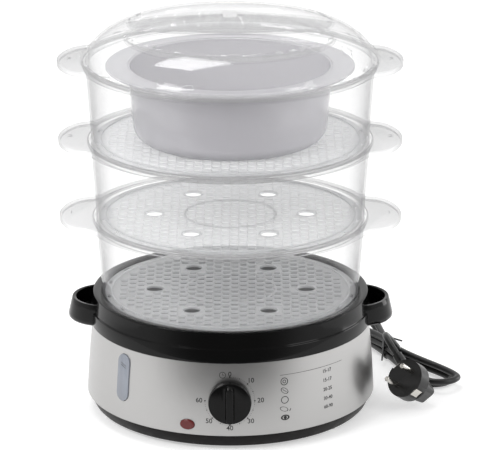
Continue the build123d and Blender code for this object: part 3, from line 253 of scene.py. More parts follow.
def addVariation(material, shader, across, up, low, high, bump=0.0, distance=0.0):
    tree = material.node_tree
    group = tree.nodes.new("ShaderNodeGroup")
    group.node_tree = variation
    for name, value in (("Scale X", across), ("Scale Z", up), ("Low", low), ("High", high)):
        group.inputs[name].default_value = value
    tree.links.new(group.outputs["Value"], shader.inputs["Roughness"])
    if bump > 0:
        relief = tree.nodes.new("ShaderNodeBump")
        relief.inputs["Strength"].default_value = bump
        relief.inputs["Distance"].default_value = distance
        tree.links.new(group.outputs["Height"], relief.inputs["Height"])
        tree.links.new(relief.outputs["Normal"], shader.inputs["Normal"])


def mathNode(tree, operation, second=None):
    node = tree.nodes.new("ShaderNodeMath")
    node.operation = operation
    if second is not None:
        node.inputs[1].default_value = second
    return node


# Clear mouldings: nearly nothing face on, denser and darker on edge, with a thin gleam of their own.
# Past seven clear faces in a row, where a sight line would turn black, the face is made solid and glows
# white to the camera: a painted glow standing in for the white behind
clearSet = {"roughness": 0.08, "scale": 40.0, "low": 0.05, "high": 0.1, "ior": 1.5,
            "gleamRoughness": 0.06, "deepest": 6.5, "deepPaintedGlow": 0.7}


def clearMaterial(name, color, edgeColor, faceAlpha, edgeAlpha, power, gleam):
    material, shader = startMaterial(name, color, clearSet["roughness"])
    addVariation(material, shader, clearSet["scale"], clearSet["scale"], clearSet["low"], clearSet["high"])
    tree = material.node_tree
    weight = tree.nodes.new("ShaderNodeLayerWeight")
    weight.inputs["Blend"].default_value = 0.5
    steep = mathNode(tree, "POWER", power)
    spread = tree.nodes.new("ShaderNodeMapRange")
    spread.inputs["To Min"].default_value = faceAlpha
    spread.inputs["To Max"].default_value = edgeAlpha
    tint = tree.nodes.new("ShaderNodeMix")
    tint.data_type = "RGBA"
    tint.inputs[6].default_value = (*color, 1)
    tint.inputs[7].default_value = (*edgeColor, 1)
    shine = tree.nodes.new("ShaderNodeBsdfGlossy")
    shine.inputs["Color"].default_value = (gleam, gleam, gleam, 1)
    shine.inputs["Roughness"].default_value = clearSet["gleamRoughness"]
    both = tree.nodes.new("ShaderNodeAddShader")
    sight = tree.nodes.new("ShaderNodeLightPath")
    deep = mathNode(tree, "GREATER_THAN", clearSet["deepest"])
    deepSeen = mathNode(tree, "MULTIPLY")
    solid = mathNode(tree, "MAXIMUM")
    glow = mathNode(tree, "MULTIPLY", clearSet["deepPaintedGlow"])
    # Painted white glow, shown to camera rays only, deep in a stack of clear faces
    shader.inputs["Emission Color"].default_value = (1, 1, 1, 1)
    shader.inputs["IOR"].default_value = clearSet["ior"]
    for source, target in (
            (sight.outputs["Transparent Depth"], deep.inputs[0]),
            (deep.outputs["Value"], deepSeen.inputs[0]),
            (sight.outputs["Is Camera Ray"], deepSeen.inputs[1]),
            (weight.outputs["Facing"], steep.inputs[0]),
            (steep.outputs["Value"], spread.inputs["Value"]),
            (spread.outputs["Result"], solid.inputs[0]),
            (deepSeen.outputs["Value"], solid.inputs[1]),
            (solid.outputs["Value"], shader.inputs["Alpha"]),
            (deepSeen.outputs["Value"], glow.inputs[0]),
            (glow.outputs["Value"], shader.inputs["Emission Strength"]),
            (steep.outputs["Value"], tint.inputs["Factor"]),
            (tint.outputs[2], shader.inputs["Base Color"]),
            (shader.outputs["BSDF"], both.inputs[0]),
            (shine.outputs["BSDF"], both.inputs[1]),
            (both.outputs["Shader"], tree.nodes["Material Output"].inputs["Surface"])):
        tree.links.new(source, target)
    return material


clearPlastic = clearMaterial("clearPlastic", (0.4, 0.4, 0.41), (0.08, 0.08, 0.085), 0.05, 0.95, 5.0, 0.012)
floorPlastic = clearMaterial("floorPlastic", (0.93, 0.94, 0.95), (0.72, 0.72, 0.73), 0.38, 0.8, 3.0, 0.02)
bowlPlastic = clearMaterial("bowlPlastic", (0.64, 0.625, 0.66), (0.54, 0.54, 0.56), 0.68, 0.9, 2.0, 0.02)
windowPlastic = clearMaterial("windowPlastic", (0.33, 0.36, 0.42), (0.2, 0.2, 0.22), 0.7, 0.9, 2.0, 0.04)
rimPlastic = clearMaterial("rimPlastic", (0.38, 0.38, 0.39), (0.1, 0.1, 0.105), 0.14, 0.95, 4.0, 0.015)
lidPlastic = clearMaterial("lidPlastic", (0.42, 0.42, 0.43), (0.22, 0.22, 0.225), 0.09, 0.7, 6.0, 0.03)


# Solid surfaces: colour, roughness, scale of the variation across and up, and the roughness it spans
def surface(name, color, roughness, across, up, low, high, metallic=0.0, specular=0.5, bump=0.0,
            distance=0.0):
    material, shader = startMaterial(name, color, roughness, metallic)
    shader.inputs["Specular IOR Level"].default_value = specular
    addVariation(material, shader, across, up, low, high, bump, distance)
    return material


steel = surface("brushedSteel", (0.43, 0.425, 0.42), 0.3, 14.0, 2600.0, 0.26, 0.4, metallic=1.0,
                bump=0.12, distance=0.00004)
blackGloss = surface("blackGloss", (0.003, 0.003, 0.003), 0.1, 90.0, 90.0, 0.07, 0.14, specular=0.2)
panPlastic = surface("panPlastic", (0.009, 0.008, 0.008), 0.4, 900.0, 900.0, 0.34, 0.48,
                     specular=0.12, bump=0.15, distance=0.00006)
footRubber = surface("footRubber", (0.015, 0.015, 0.015), 0.7, 1200.0, 1200.0, 0.6, 0.8,
                     bump=0.2, distance=0.00006)
knobPlastic = surface("knobPlastic", (0.003, 0.003, 0.003), 0.2, 150.0, 150.0, 0.12, 0.22, specular=0.16)
printInk = surface("printInk", (0.006, 0.006, 0.006), 0.45, 800.0, 800.0, 0.4, 0.55)
tiePlastic = surface("tiePlastic", (0.02, 0.02, 0.022), 0.3, 400.0, 400.0, 0.25, 0.4, specular=0.4)
wireBrown = surface("wireBrown", (0.12, 0.045, 0.02), 0.45, 600.0, 600.0, 0.4, 0.55)
wireBlue = surface("wireBlue", (0.02, 0.06, 0.25), 0.45, 600.0, 600.0, 0.4, 0.55)
wireEarth = surface("wireEarth", (0.12, 0.25, 0.02), 0.45, 600.0, 600.0, 0.4, 0.55)
cordRubber = surface("cordRubber", (0.008, 0.008, 0.008), 0.32, 500.0, 500.0, 0.26, 0.42,
                     specular=0.4, bump=0.06, distance=0.00004)
zincSteel = surface("zincSteel", (0.55, 0.55, 0.54), 0.35, 400.0, 400.0, 0.28, 0.45, metallic=1.0)
plugMetal = surface("plugMetal", (0.62, 0.60, 0.56), 0.2, 500.0, 500.0, 0.15, 0.3, metallic=1.0)
castMetal = surface("castMetal", (0.5, 0.5, 0.5), 0.45, 700.0, 700.0, 0.38, 0.55, metallic=1.0,
                    bump=0.2, distance=0.0001)
tankPlastic = surface("tankPlastic", (0.62, 0.62, 0.6), 0.4, 300.0, 300.0, 0.35, 0.48)
trayPlastic = surface("trayPlastic", (0.2, 0.2, 0.205), 0.35, 300.0, 300.0, 0.3, 0.42)
sealRubber = surface("sealRubber", (0.12, 0.11, 0.11), 0.7, 900.0, 900.0, 0.6, 0.8)
redLens = surface("redLens", (0.11, 0.004, 0.004), 0.12, 200.0, 200.0, 0.08, 0.16)
print("materials made")


nodeMaterials = {
    "base_pan": panPlastic, "rubber_feet": footRubber, "base_screws": zincSteel,
    "steel_skirt": steel, "collar": blackGloss, "water_tank": tankPlastic, "tank_screws": zincSteel,
    "heater_plate": castMetal, "heater_gasket": sealRubber, "heater_clamp": zincSteel,
    "clamp_screws": zincSteel, "heating_element": zincSteel, "thermostat": zincSteel,
    "steam_sleeve": tankPlastic, "drip_tray": trayPlastic, "timer_bracket": zincSteel,
    "timer_case": tankPlastic, "timer_bell": zincSteel, "timer_screws": zincSteel,
    "timer_shaft": zincSteel, "timer_knob": blackGloss, "lamp_lens": redLens,
    "lamp_holder": tankPlastic, "level_window": windowPlastic, "window_gasket": sealRubber,
    "gauge_duct": tankPlastic, "terminal_block": trayPlastic, "inner_lead": cordRubber,
    "cord_gland": cordRubber, "basket_1": clearPlastic, "basket_1_floor": floorPlastic,
    "basket_2": clearPlastic, "basket_2_floor": floorPlastic, "basket_3": clearPlastic,
    "basket_3_floor": floorPlastic, "rice_bowl": bowlPlastic, "lid": clearPlastic,
    "basket_1_rim": rimPlastic, "basket_2_rim": rimPlastic, "basket_3_rim": rimPlastic,
    "bowl_flange": bowlPlastic, "tray_chimney": trayPlastic, "thermal_fuse": zincSteel,
    "live_wire": wireBrown, "switched_wire": wireBrown, "fuse_wire_in": wireBrown,
    "fuse_wire_out": wireBrown, "neutral_wire": wireBlue, "earth_wire": wireEarth,
    "lamp_lead": tankPlastic,
    "power_cord": cordRubber, "cord_hank": cordRubber, "cord_plug_lead": cordRubber,
    "cord_tie": cordRubber, "plug_body": cordRubber, "plug_pins": plugMetal,
    "plug_earth_clips": plugMetal,
}
for nodeName, material in nodeMaterials.items():
    wear(nodes[nodeName], material)

wear(powerCord, cordRubber)
settle(powerCord, "base", "cord_rubber", "power_cord", "cord_hank", "cord_plug_lead")


# A turned shell: one ring of vertices extruded from corner to corner of a closed profile
def turnedShell(name, profile, segments=160, degrees=30):
    deselectAll()
    bpy.ops.mesh.primitive_circle_add(vertices=segments, radius=profile[0][0] / 1000,
                                      location=(0, 0, profile[0][1] / 1000))
    piece = bpy.context.object
    piece.name = name
    bpy.ops.object.mode_set(mode="EDIT")
    bpy.ops.mesh.select_mode(type="EDGE")
    bpy.ops.mesh.select_all(action="SELECT")
    last = profile[0]
    for corner in profile[1:] + profile[:1]:
        bpy.ops.mesh.extrude_edges_move(
            TRANSFORM_OT_translate={"value": (0, 0, (corner[1] - last[1]) / 1000)})
        share = corner[0] / last[0]
        if abs(share - 1) > 1e-9:
            bpy.ops.transform.resize(value=(share, share, 1), center_override=(0, 0, corner[1] / 1000))
        last = corner
    bpy.ops.mesh.select_all(action="SELECT")
    bpy.ops.mesh.remove_doubles(threshold=0.00001)
    bpy.ops.mesh.normals_make_consistent(inside=False)
    bpy.ops.object.mode_set(mode="OBJECT")
    applyPlace(piece)
    smoothFaces(piece, degrees)
    return piece


def arcCorners(start, through, end, count):
    # Corners along the arc through three points of a profile
    ax, ay = start
    bx, by = through
    cx, cy = end
    aSquare, bSquare, cSquare = ax * ax + ay * ay, bx * bx + by * by, cx * cx + cy * cy
    span = 2 * (ax * (by - cy) + bx * (cy - ay) + cx * (ay - by))
    ux = (aSquare * (by - cy) + bSquare * (cy - ay) + cSquare * (ay - by)) / span
    uy = (aSquare * (cx - bx) + bSquare * (ax - cx) + cSquare * (bx - ax)) / span
    radius = math.hypot(ax - ux, ay - uy)
    first = math.atan2(ay - uy, ax - ux)
    middle = math.atan2(by - uy, bx - ux)
    last = math.atan2(cy - uy, cx - ux)
    turn = (last - first) % (2 * math.pi)
    if (middle - first) % (2 * math.pi) > turn:
        turn -= 2 * math.pi
    return [(ux + radius * math.cos(first + turn * part / count),
             uy + radius * math.sin(first + turn * part / count)) for part in range(count + 1)]


def cutWith(piece, cutter, operation="DIFFERENCE"):
    useModifier(piece, "BOOLEAN", object=cutter, operation=operation, solver="EXACT")
    deselectAll()
    cutter.select_set(True)
    bpy.ops.object.delete()


def joinTo(piece, *others):
    deselectAll()
    for other in others:
        other.select_set(True)
    piece.select_set(True)
    bpy.context.view_layer.objects.active = piece
    bpy.ops.object.join()
    return piece


def softEdges(piece, width, segments=2, degrees=30):
    useModifier(piece, "BEVEL", width=width / 1000, segments=segments, limit_method="ANGLE",
                angle_limit=math.radians(degrees), harden_normals=False)
    smoothFaces(piece, degrees)


# A node whose flat faces are made whole again, so that its edges can be rounded
def cleanCopy(nodeName, pieceName, width=0.4, segments=2, degrees=30):
    piece = mergedCopy(nodeName, pieceName, degrees)
    bpy.ops.object.mode_set(mode="EDIT")
    bpy.ops.mesh.select_all(action="SELECT")
    bpy.ops.mesh.dissolve_limited(angle_limit=math.radians(0.5))
    bpy.ops.object.mode_set(mode="OBJECT")
    if width > 0:
        softEdges(piece, width, segments, degrees)
    return piece


# A softened copy of a node in its material, on its body, standing for that node
def dressedCopy(nodeName, pieceName, width, segments, degrees, material, body, slotName):
    piece = cleanCopy(nodeName, pieceName, width, segments, degrees)
    wear(piece, material)
    settle(piece, body, slotName, nodeName)
    return piece


def cylinderCutter(radius, depth, location, turn=(0, 0, 0), vertices=64):
    deselectAll()
    bpy.ops.mesh.primitive_cylinder_add(vertices=vertices, radius=radius / 1000, depth=depth / 1000,
                                        location=Vector(location) / 1000, rotation=turn)
    return bpy.context.object


def frontTurn(turn, lean=0.0):
    # Turn that points an object's Z outward through the front, turned to the left by so many degrees
    angle = math.radians(-90 - turn)
    outward = Vector((math.cos(angle) * math.cos(lean), math.sin(angle) * math.cos(lean), math.sin(lean)))
    across = Vector((-math.sin(angle), math.cos(angle), 0))
    upward = outward.cross(across)
    return Matrix((across, upward, outward)).transposed()


def frontMatrix(turn, height, radius, lean=0.0):
    angle = math.radians(-90 - turn)
    place = Vector((radius * math.cos(angle), radius * math.sin(angle), height)) / 1000
    return Matrix.Translation(place) @ frontTurn(turn, lean).to_4x4()


# Skirt: barrelled sheet with a hem, cut for the shaft, the lamp, the window and the gland
skirtSet = {
    "bottom": 133.3, "top": 127.5, "low": 15.5, "middle": 51.25, "high": 87.0, "bulge": 0.6,
    "sheet": 0.8, "hem": 0.4, "lip": 1.0,
    "holes": ((0, 48.0, 5.0, 5.0), (16.7, 24.8, 7.05, 5.05), (180, 28.0, 6.3, 6.3)),
}


def skirtRadius(height):
    share = (height - skirtSet["low"]) / (skirtSet["high"] - skirtSet["low"])
    straight = skirtSet["bottom"] + share * (skirtSet["top"] - skirtSet["bottom"])
    return straight + 4 * skirtSet["bulge"] * share * (1 - share)


middleRadius = skirtRadius(skirtSet["middle"])
skirtOut = arcCorners((skirtSet["bottom"], skirtSet["low"] + skirtSet["hem"]),
                      (middleRadius, skirtSet["middle"]), (skirtSet["top"], skirtSet["high"]), 18)
skirtIn = arcCorners((skirtSet["top"] - skirtSet["sheet"], skirtSet["high"]),
                     (middleRadius - skirtSet["sheet"], skirtSet["middle"]),
                     (skirtSet["bottom"] - skirtSet["sheet"], skirtSet["low"] + skirtSet["sheet"]), 9)
skirtSheet = turnedShell("skirtSheet", [(skirtSet["bottom"] - skirtSet["hem"], skirtSet["low"])] + skirtOut
                         + skirtIn + [(skirtSet["bottom"] - skirtSet["lip"], skirtSet["low"])], 288, 30)
for turn, height, halfWide, halfHigh in skirtSet["holes"]:
    # A cylinder of one metre radius, scaled to the hole
    hole = cylinderCutter(1000, 40, (0, 0, 0), vertices=72)
    hole.matrix_world = (frontMatrix(turn, height, 130)
                         @ Matrix.Diagonal((halfWide / 1000, halfHigh / 1000, 1, 1)))
    applyPlace(hole)
    cutWith(skirtSheet, hole)
windowSet = {"turn": 47.6, "height": 55.0, "width": 15.0, "length": 44.0, "thick": 4.1, "sunk": 1.15,
             "gap": 0.3, "edge": 0.5, "marks": (67.8, 65.8), "markProud": 0.95}
windowLean = math.atan2(skirtRadius(windowSet["height"] - windowSet["length"] / 2)
                        - skirtRadius(windowSet["height"] + windowSet["length"] / 2), windowSet["length"])


def windowBlock(name, grow, depth, radius, lean=0.0):
    # A stadium: a cube with its four upright edges rounded off
    deselectAll()
    bpy.ops.mesh.primitive_cube_add(size=1)
    block = bpy.context.object
    block.name = name
    block.scale = Vector((windowSet["width"] + 2 * grow, windowSet["length"] + 2 * grow, depth)) / 1000
    applyPlace(block)
    bpy.ops.object.mode_set(mode="EDIT")
    bpy.ops.mesh.select_mode(type="EDGE")
    bpy.ops.mesh.select_all(action="DESELECT")
    mesh = bmesh.from_edit_mesh(block.data)
    for edge in mesh.edges:
        a, b = edge.verts
        edge.select_set(abs(a.co.x - b.co.x) < 1e-6 and abs(a.co.y - b.co.y) < 1e-6)
    bmesh.update_edit_mesh(block.data)
    bpy.ops.mesh.bevel(offset=(windowSet["width"] / 2 + grow) / 1000 * 0.999, segments=12,
                       affect="EDGES")
    bpy.ops.object.mode_set(mode="OBJECT")
    block.matrix_world = frontMatrix(windowSet["turn"], windowSet["height"], radius, lean)
    applyPlace(block)
    return block


cutWith(skirtSheet, windowBlock("windowCutter", windowSet["gap"], 24, 128))
smoothFaces(skirtSheet, 20)
wear(skirtSheet, steel)
settle(skirtSheet, "base", "brushed_steel", "steel_skirt")
print("skirt made")

# Window pane with its rounded edge
windowPane = windowBlock("windowPane", 0, windowSet["thick"],
                         skirtRadius(windowSet["height"]) - windowSet["sunk"], windowLean)
softEdges(windowPane, windowSet["edge"])
wear(windowPane, windowPlastic)
settle(windowPane, "base", "window_clear", "level_window")

# Collar: band, shoulder and nest ring in one turn, with a pocket on each side
collarRing = turnedShell("collarRing", [
    (128.3, 83.0), (129.4, 83.1), (129.7, 83.5), (129.7, 95.2), (129.4, 95.8), (128.8, 96.0),
    (128.1, 96.2), (127.8, 96.8), (127.25, 109.0), (126.9, 110.3), (126.0, 110.9), (124.6, 111.0),
    (120.4, 111.0), (119.4, 110.7), (119.0, 110.0), (119.0, 106.0), (115.6, 106.0), (115.6, 94.0),
    (110.6, 94.0), (110.6, 92.0), (115.6, 92.0), (115.6, 86.0), (117.6, 86.0), (117.6, 104.0),
    (121.0, 104.0), (121.0, 108.5), (125.1, 108.5), (125.1, 87.3), (127.8, 87.3), (128.1, 84.0)], 224, 35)
pocketSet = {
    "center": 112.0, "trim": 126.6,
    "rings": ((31.0, 24.0, 81.0), (35.6, 28.3, 82.4), (37.7, 30.4, 84.6), (38.2, 31.1, 88.0),
              (34.6, 33.7, 103.2), (34.0, 33.4, 104.0), (32.0, 31.6, 104.0), (31.2, 31.2, 103.6),
              (31.0, 31.0, 102.8), (31.0, 31.0, 89.6), (29.0, 29.0, 87.6), (15.0, 15.0, 87.6)),
}
pockets = []
for side in (-1, 1):
    center = side * pocketSet["center"] / 1000
    last = pocketSet["rings"][0]
    deselectAll()
    bpy.ops.mesh.primitive_circle_add(vertices=96, radius=0.001, fill_type="NGON",
                                      location=(center, 0, last[2] / 1000))
    pocket = bpy.context.object
    pocket.name = "pocketCup"
    bpy.ops.object.mode_set(mode="EDIT")
    bpy.ops.mesh.select_all(action="SELECT")
    bpy.ops.transform.resize(value=(last[0], last[1], 1), center_override=(center, 0, last[2] / 1000))
    for ring in pocketSet["rings"][1:]:
        bpy.ops.mesh.extrude_region_move(
            TRANSFORM_OT_translate={"value": (0, 0, (ring[2] - last[2]) / 1000)})
        bpy.ops.transform.resize(value=(ring[0] / last[0], ring[1] / last[1], 1),
                                 center_override=(center, 0, ring[2] / 1000))
        last = ring
    bpy.ops.mesh.select_all(action="SELECT")
    bpy.ops.mesh.normals_make_consistent(inside=False)
    bpy.ops.object.mode_set(mode="OBJECT")
    applyPlace(pocket)
    cutWith(pocket, cylinderCutter(pocketSet["trim"], 60, (0, 0, 95), vertices=224))
    smoothFaces(pocket, 35)
    pockets.append(pocket)
joinTo(collarRing, *pockets)
wear(collarRing, blackGloss)
settle(collarRing, "base", "gloss_black", "collar")
print("collar made")

# Bottom pan and its feet
dressedCopy("base_pan", "bottomPan", 0.3, 2, 30, panPlastic, "base", "dark_plastic")
padSet = {"ring": 100.0, "radius": 8.0, "height": 3.2, "edge": 0.8, "land": 1.4, "groove": 0.5,
          "depth": 0.3}


def selectDownFaces(piece, steepness):
    bpy.ops.mesh.select_all(action="DESELECT")
    mesh = bmesh.from_edit_mesh(piece.data)
    for face in mesh.faces:
        face.select_set(face.normal.z < -steepness)
    bmesh.update_edit_mesh(piece.data)


pads = []
for turn in (45, 135, 225, 315):
    angle = math.radians(turn)
    pad = cylinderCutter(padSet["radius"], padSet["height"],
                         (padSet["ring"] * math.cos(angle), padSet["ring"] * math.sin(angle),
                          padSet["height"] / 2), vertices=48)
    bpy.ops.object.mode_set(mode="EDIT")
    bpy.ops.mesh.select_mode(type="FACE")
    selectDownFaces(pad, 0.9)
    bpy.ops.mesh.bevel(offset=padSet["edge"] / 1000, segments=3, affect="EDGES")
    selectDownFaces(pad, 0.99)
    for sink in (-padSet["depth"], 0.0):
        bpy.ops.mesh.inset(thickness=padSet["land"] / 1000, depth=0)
        bpy.ops.mesh.inset(thickness=padSet["groove"] / 1000, depth=sink / 1000)
    bpy.ops.object.mode_set(mode="OBJECT")
    applyPlace(pad)
    pads.append(pad)
footPads = joinTo(*pads)
footPads.name = "footPads"
smoothFaces(footPads, 35)
wear(footPads, footRubber)
settle(footPads, "base", "rubber", "rubber_feet")
print("pan and feet made")

# Baskets: wall, rim with both lobes, floor
basketSet = {
    "first": 106.0, "pitch": 73.0, "nest": 5.0,
    "bottoms": (118.2, 122.6, 126.4), "tops": (123.0, 127.0, 131.0),
    "bores": (123.4, 127.2, 131.1), "wall": 2.0, "floorGap": 0.3,
}
basketBodies = ("basket_low", "basket_mid", "basket_top")
for index, body in enumerate(basketBodies):
    number = index + 1
    bottom = basketSet["first"] + index * basketSet["pitch"]
    ledge = bottom + basketSet["pitch"]
    top = ledge + basketSet["nest"]
    bottomRadius = basketSet["bottoms"][index]
    topRadius = basketSet["tops"][index]
    bore = basketSet["bores"][index]
    thick = basketSet["wall"]
    ring = bore + thick
    rimLow = top - 2.2
    wall = turnedShell("basketWall%d" % number, [
        (bottomRadius - 4.6, bottom), (bottomRadius - 0.8, bottom), (bottomRadius, bottom + 0.8),
        (topRadius, ledge - 2.8), (topRadius + 0.5, ledge - thick), (ring, ledge - thick),
        (ring, rimLow - 1.6), (ring + 1.5, rimLow - 1.2), (ring + 1.5, rimLow), (ring, rimLow),
        (ring, top - 0.4), (ring - 0.4, top), (bore + 0.4, top), (bore, top - 0.4), (bore, ledge),
        (topRadius - thick, ledge), (topRadius - thick, ledge - thick),
        (bottomRadius - thick, bottom + thick), (bottomRadius - 4.6, bottom + thick)], 160, 35)
    wear(wall, clearPlastic)
    settle(wall, body, "clear_plastic", "basket_%d" % number)
print("basket walls made")

# Centred text turned into a flat mesh
def flatText(word, size, extrude, resolution, offset=0.0, location=(0, 0, 0)):
    deselectAll()
    bpy.ops.object.text_add(location=location)
    piece = bpy.context.object
    piece.data.body = word
    piece.data.size = size / 1000
    piece.data.align_x = "CENTER"
    piece.data.align_y = "CENTER"
    piece.data.extrude = extrude
    piece.data.offset = offset
    piece.data.resolution_u = resolution
    bpy.ops.object.convert(target="MESH")
    return piece


# Rims with their lobes, edges rounded as moulded, and the tier's number raised on both lobes
numeralSet = {"reach": 0.146, "size": 11.0, "extrude": 0.0002}
for index, body in enumerate(basketBodies):
    number = index + 1
    dressedCopy("basket_%d_rim" % number, "basketRim%d" % number, 0.55, 2, 40, rimPlastic, body,
                "clear_plastic")
    rimTop = (basketSet["first"] + number * basketSet["pitch"] + basketSet["nest"]) / 1000
    numerals = []
    for side in (-1, 1):
        numeral = flatText(str(number), numeralSet["size"], numeralSet["extrude"], 4,
                           location=(side * numeralSet["reach"], 0, rimTop))
        applyPlace(numeral)
        numerals.append(numeral)
    tierNumbers = joinTo(*numerals)
    tierNumbers.name = "tierNumbers%d" % number
    wear(tierNumbers, rimPlastic)
    settle(tierNumbers, body, "clear_plastic")
print("rims made")

# Floors: a grid of cells, every other one cut through, trimmed round, with bead, egg holes and gutter
floorSet = {
    "columns": 32, "rows": 42, "across": 7.9, "along": 6.05, "bar": 0.95, "thick": 1.6,
    "padEdge": 0.9, "padRise": 0.8, "eggRing": 70.0, "eggRadius": 8.0, "eggClear": 5.2,
    "fieldClear": 6.5, "gutter": 5.3, "gutterSlot": (2.6, 9.0, 20.0), "innerRing": 42.0,
}
eggSpots = [(floorSet["eggRing"] * math.cos(math.radians(60 * egg)),
             floorSet["eggRing"] * math.sin(math.radians(60 * egg))) for egg in range(6)]


def cellOf(center):
    return math.floor(center.x / floorSet["across"]), math.floor(center.y / floorSet["along"])


def floorPlate(name, plateRadius, low):
    inner = plateRadius - floorSet["gutter"]
    deselectAll()
    bpy.ops.mesh.primitive_grid_add(x_subdivisions=floorSet["columns"], y_subdivisions=floorSet["rows"],
                                    size=1, location=(0, 0, low / 1000))
    plate = bpy.context.object
    plate.name = name
    plate.scale = (floorSet["columns"] * floorSet["across"] / 1000,
                   floorSet["rows"] * floorSet["along"] / 1000, 1)
    applyPlace(plate)
    bpy.ops.object.mode_set(mode="EDIT")
    bpy.ops.mesh.select_mode(type="FACE")
    bpy.ops.mesh.select_all(action="DESELECT")
    padCells = set()
    mesh = bmesh.from_edit_mesh(plate.data)
    for face in mesh.faces:
        center = face.calc_center_median() * 1000
        cell = cellOf(center)
        offEggs = all(math.hypot(center.x - spot[0], center.y - spot[1])
                      > floorSet["eggRadius"] + floorSet["eggClear"] for spot in eggSpots)
        inField = math.hypot(center.x, center.y) < inner - floorSet["fieldClear"] and offEggs
        face.select_set(sum(cell) % 2 == 0 and inField)
        if sum(cell) % 2 and inField:
            padCells.add(cell)
    bmesh.update_edit_mesh(plate.data)
    bpy.ops.mesh.inset(thickness=floorSet["bar"] / 1000, use_individual=True)
    bpy.ops.mesh.delete(type="FACE")
    bpy.ops.mesh.select_all(action="DESELECT")
    mesh = bmesh.from_edit_mesh(plate.data)
    # The bars left round a slot are narrow, so only whole cells are raised into pads
    wholeCell = 0.9 * floorSet["across"] * floorSet["along"] / 1e6
    for face in mesh.faces:
        cell = cellOf(face.calc_center_median() * 1000)
        face.select_set(cell in padCells and face.calc_area() > wholeCell)
    bmesh.update_edit_mesh(plate.data)
    bpy.ops.mesh.inset(thickness=floorSet["padEdge"] / 1000, depth=floorSet["padRise"] / 1000,
                       use_individual=True)
    bpy.ops.object.mode_set(mode="OBJECT")
    useModifier(plate, "SOLIDIFY", thickness=floorSet["thick"] / 1000, offset=1)
    cutWith(plate, cylinderCutter(plateRadius, 20, (0, 0, low), vertices=192), "INTERSECT")
    cutters = [cylinderCutter(floorSet["eggRadius"], 20, (*spot, low), vertices=32) for spot in eggSpots]
    for slot in range(18):
        turn = math.radians(10 + 20 * slot)
        reach = (inner + floorSet["gutter"] / 2) / 1000
        deselectAll()
        bpy.ops.mesh.primitive_cube_add(
            size=1, location=(reach * math.cos(turn), reach * math.sin(turn), low / 1000),
            rotation=(0, 0, turn))
        box = bpy.context.object
        box.scale = Vector(floorSet["gutterSlot"]) / 1000
        applyPlace(box)
        cutters.append(box)
    cutWith(plate, joinTo(*cutters))
    top = low + floorSet["thick"]
    bead = turnedShell(name + "Bead", [
        (inner - 1.6, top - 0.2), (inner, top - 0.2), (inner, top + 1.1), (inner - 0.4, top + 1.4),
        (inner - 1.2, top + 1.4), (inner - 1.6, top + 1.1)], 160, 35)
    middle = turnedShell(name + "Middle", [
        (floorSet["innerRing"] - 1.0, top - 0.2), (floorSet["innerRing"] + 1.0, top - 0.2),
        (floorSet["innerRing"] + 0.7, top + 0.6), (floorSet["innerRing"] - 0.7, top + 0.6)], 96, 35)
    eggRims = []
    for spot in eggSpots:
        ringPiece = turnedShell(name + "Egg", [
            (floorSet["eggRadius"] + 0.1, top - 0.2), (floorSet["eggRadius"] + 1.7, top - 0.2),
            (floorSet["eggRadius"] + 1.5, top + 0.6), (floorSet["eggRadius"] + 0.3, top + 0.6)], 32, 35)
        ringPiece.location = (spot[0] / 1000, spot[1] / 1000, 0)
        applyPlace(ringPiece)
        eggRims.append(ringPiece)
    joinTo(plate, bead, middle, *eggRims)
    plate.name = name
    smoothFaces(plate, 35)
    return plate


for index, body in enumerate(basketBodies):
    number = index + 1
    plate = floorPlate("basketFloor%d" % number,
                       basketSet["bottoms"][index] - basketSet["wall"] - basketSet["floorGap"],
                       basketSet["first"] + index * basketSet["pitch"] + basketSet["wall"])
    wear(plate, floorPlastic)
    settle(plate, body, "clear_plastic", "basket_%d_floor" % number)
print("floors made")

# Rice bowl and its flange
bowlSet = {"low": 255.6, "foot": 87.8, "wall": 1.8}
footArc = arcCorners((bowlSet["foot"] - 13.1, bowlSet["low"]),
                     (bowlSet["foot"] - 3.6, bowlSet["low"] + 4.1),
                     (bowlSet["foot"] + 0.95, bowlSet["low"] + 13.1), 6)
innerArc = arcCorners((bowlSet["foot"] - 0.85, bowlSet["low"] + 13.2),
                      (bowlSet["foot"] - 4.85, bowlSet["low"] + 5.35),
                      (bowlSet["foot"] - 13.1, bowlSet["low"] + bowlSet["wall"]), 6)
riceBowl = turnedShell("riceBowl", [(0.5, bowlSet["low"])] + footArc + [
    (92.68, 321.2), (94.0, 321.6), (94.0, 322.7), (92.8, 322.8), (92.8, 324.2), (92.4, 324.6),
    (91.4, 324.6), (91.0, 324.2)] + innerArc + [(0.5, bowlSet["low"] + bowlSet["wall"])], 192, 35)
bowlFlange = turnedShell("bowlFlange", [
    (92.95, 322.8), (112.4, 322.8), (113.0, 323.2), (113.0, 324.2), (112.6, 324.6), (111.2, 324.6),
    (110.2, 324.2), (94.6, 324.2), (93.6, 324.6), (92.95, 324.6)], 192, 35)
for piece, nodeName in ((riceBowl, "rice_bowl"), (bowlFlange, "bowl_flange")):
    wear(piece, bowlPlastic)
    settle(piece, "bowl", "bowl_plastic", nodeName)
print("bowl made")

# Lid: dome with its two scoops and the ridge between them
domeLid = mergedCopy("lid", "domeLid", 24)
wear(domeLid, lidPlastic)
settle(domeLid, "lid", "clear_plastic", "lid")

# Timer knob and the small outer pieces, with softened edges
dressedCopy("timer_knob", "timerKnob", 0.5, 3, 35, knobPlastic, "knob", "gloss_black")
plugShell = dressedCopy("plug_body", "plugShell", 0.8, 3, 35, cordRubber, "base", "cord_rubber")
plugPins = dressedCopy("plug_pins", "plugPins", 0.7, 3, 35, plugMetal, "base", "plug_metal")
plugClips = dressedCopy("plug_earth_clips", "plugClips", 0.25, 2, 35, plugMetal, "base", "plug_metal")
tieBand = dressedCopy("cord_tie", "tieBand", 0.25, 2, 35, tiePlastic, "base", "cord_rubber")
dressedCopy("lamp_lens", "lampLens", 0, 2, 25, redLens, "base", "red_lens")
dressedCopy("cord_gland", "glandSleeve", 0.2, 2, 35, cordRubber, "base", "cord_rubber")
print("small outer pieces made")

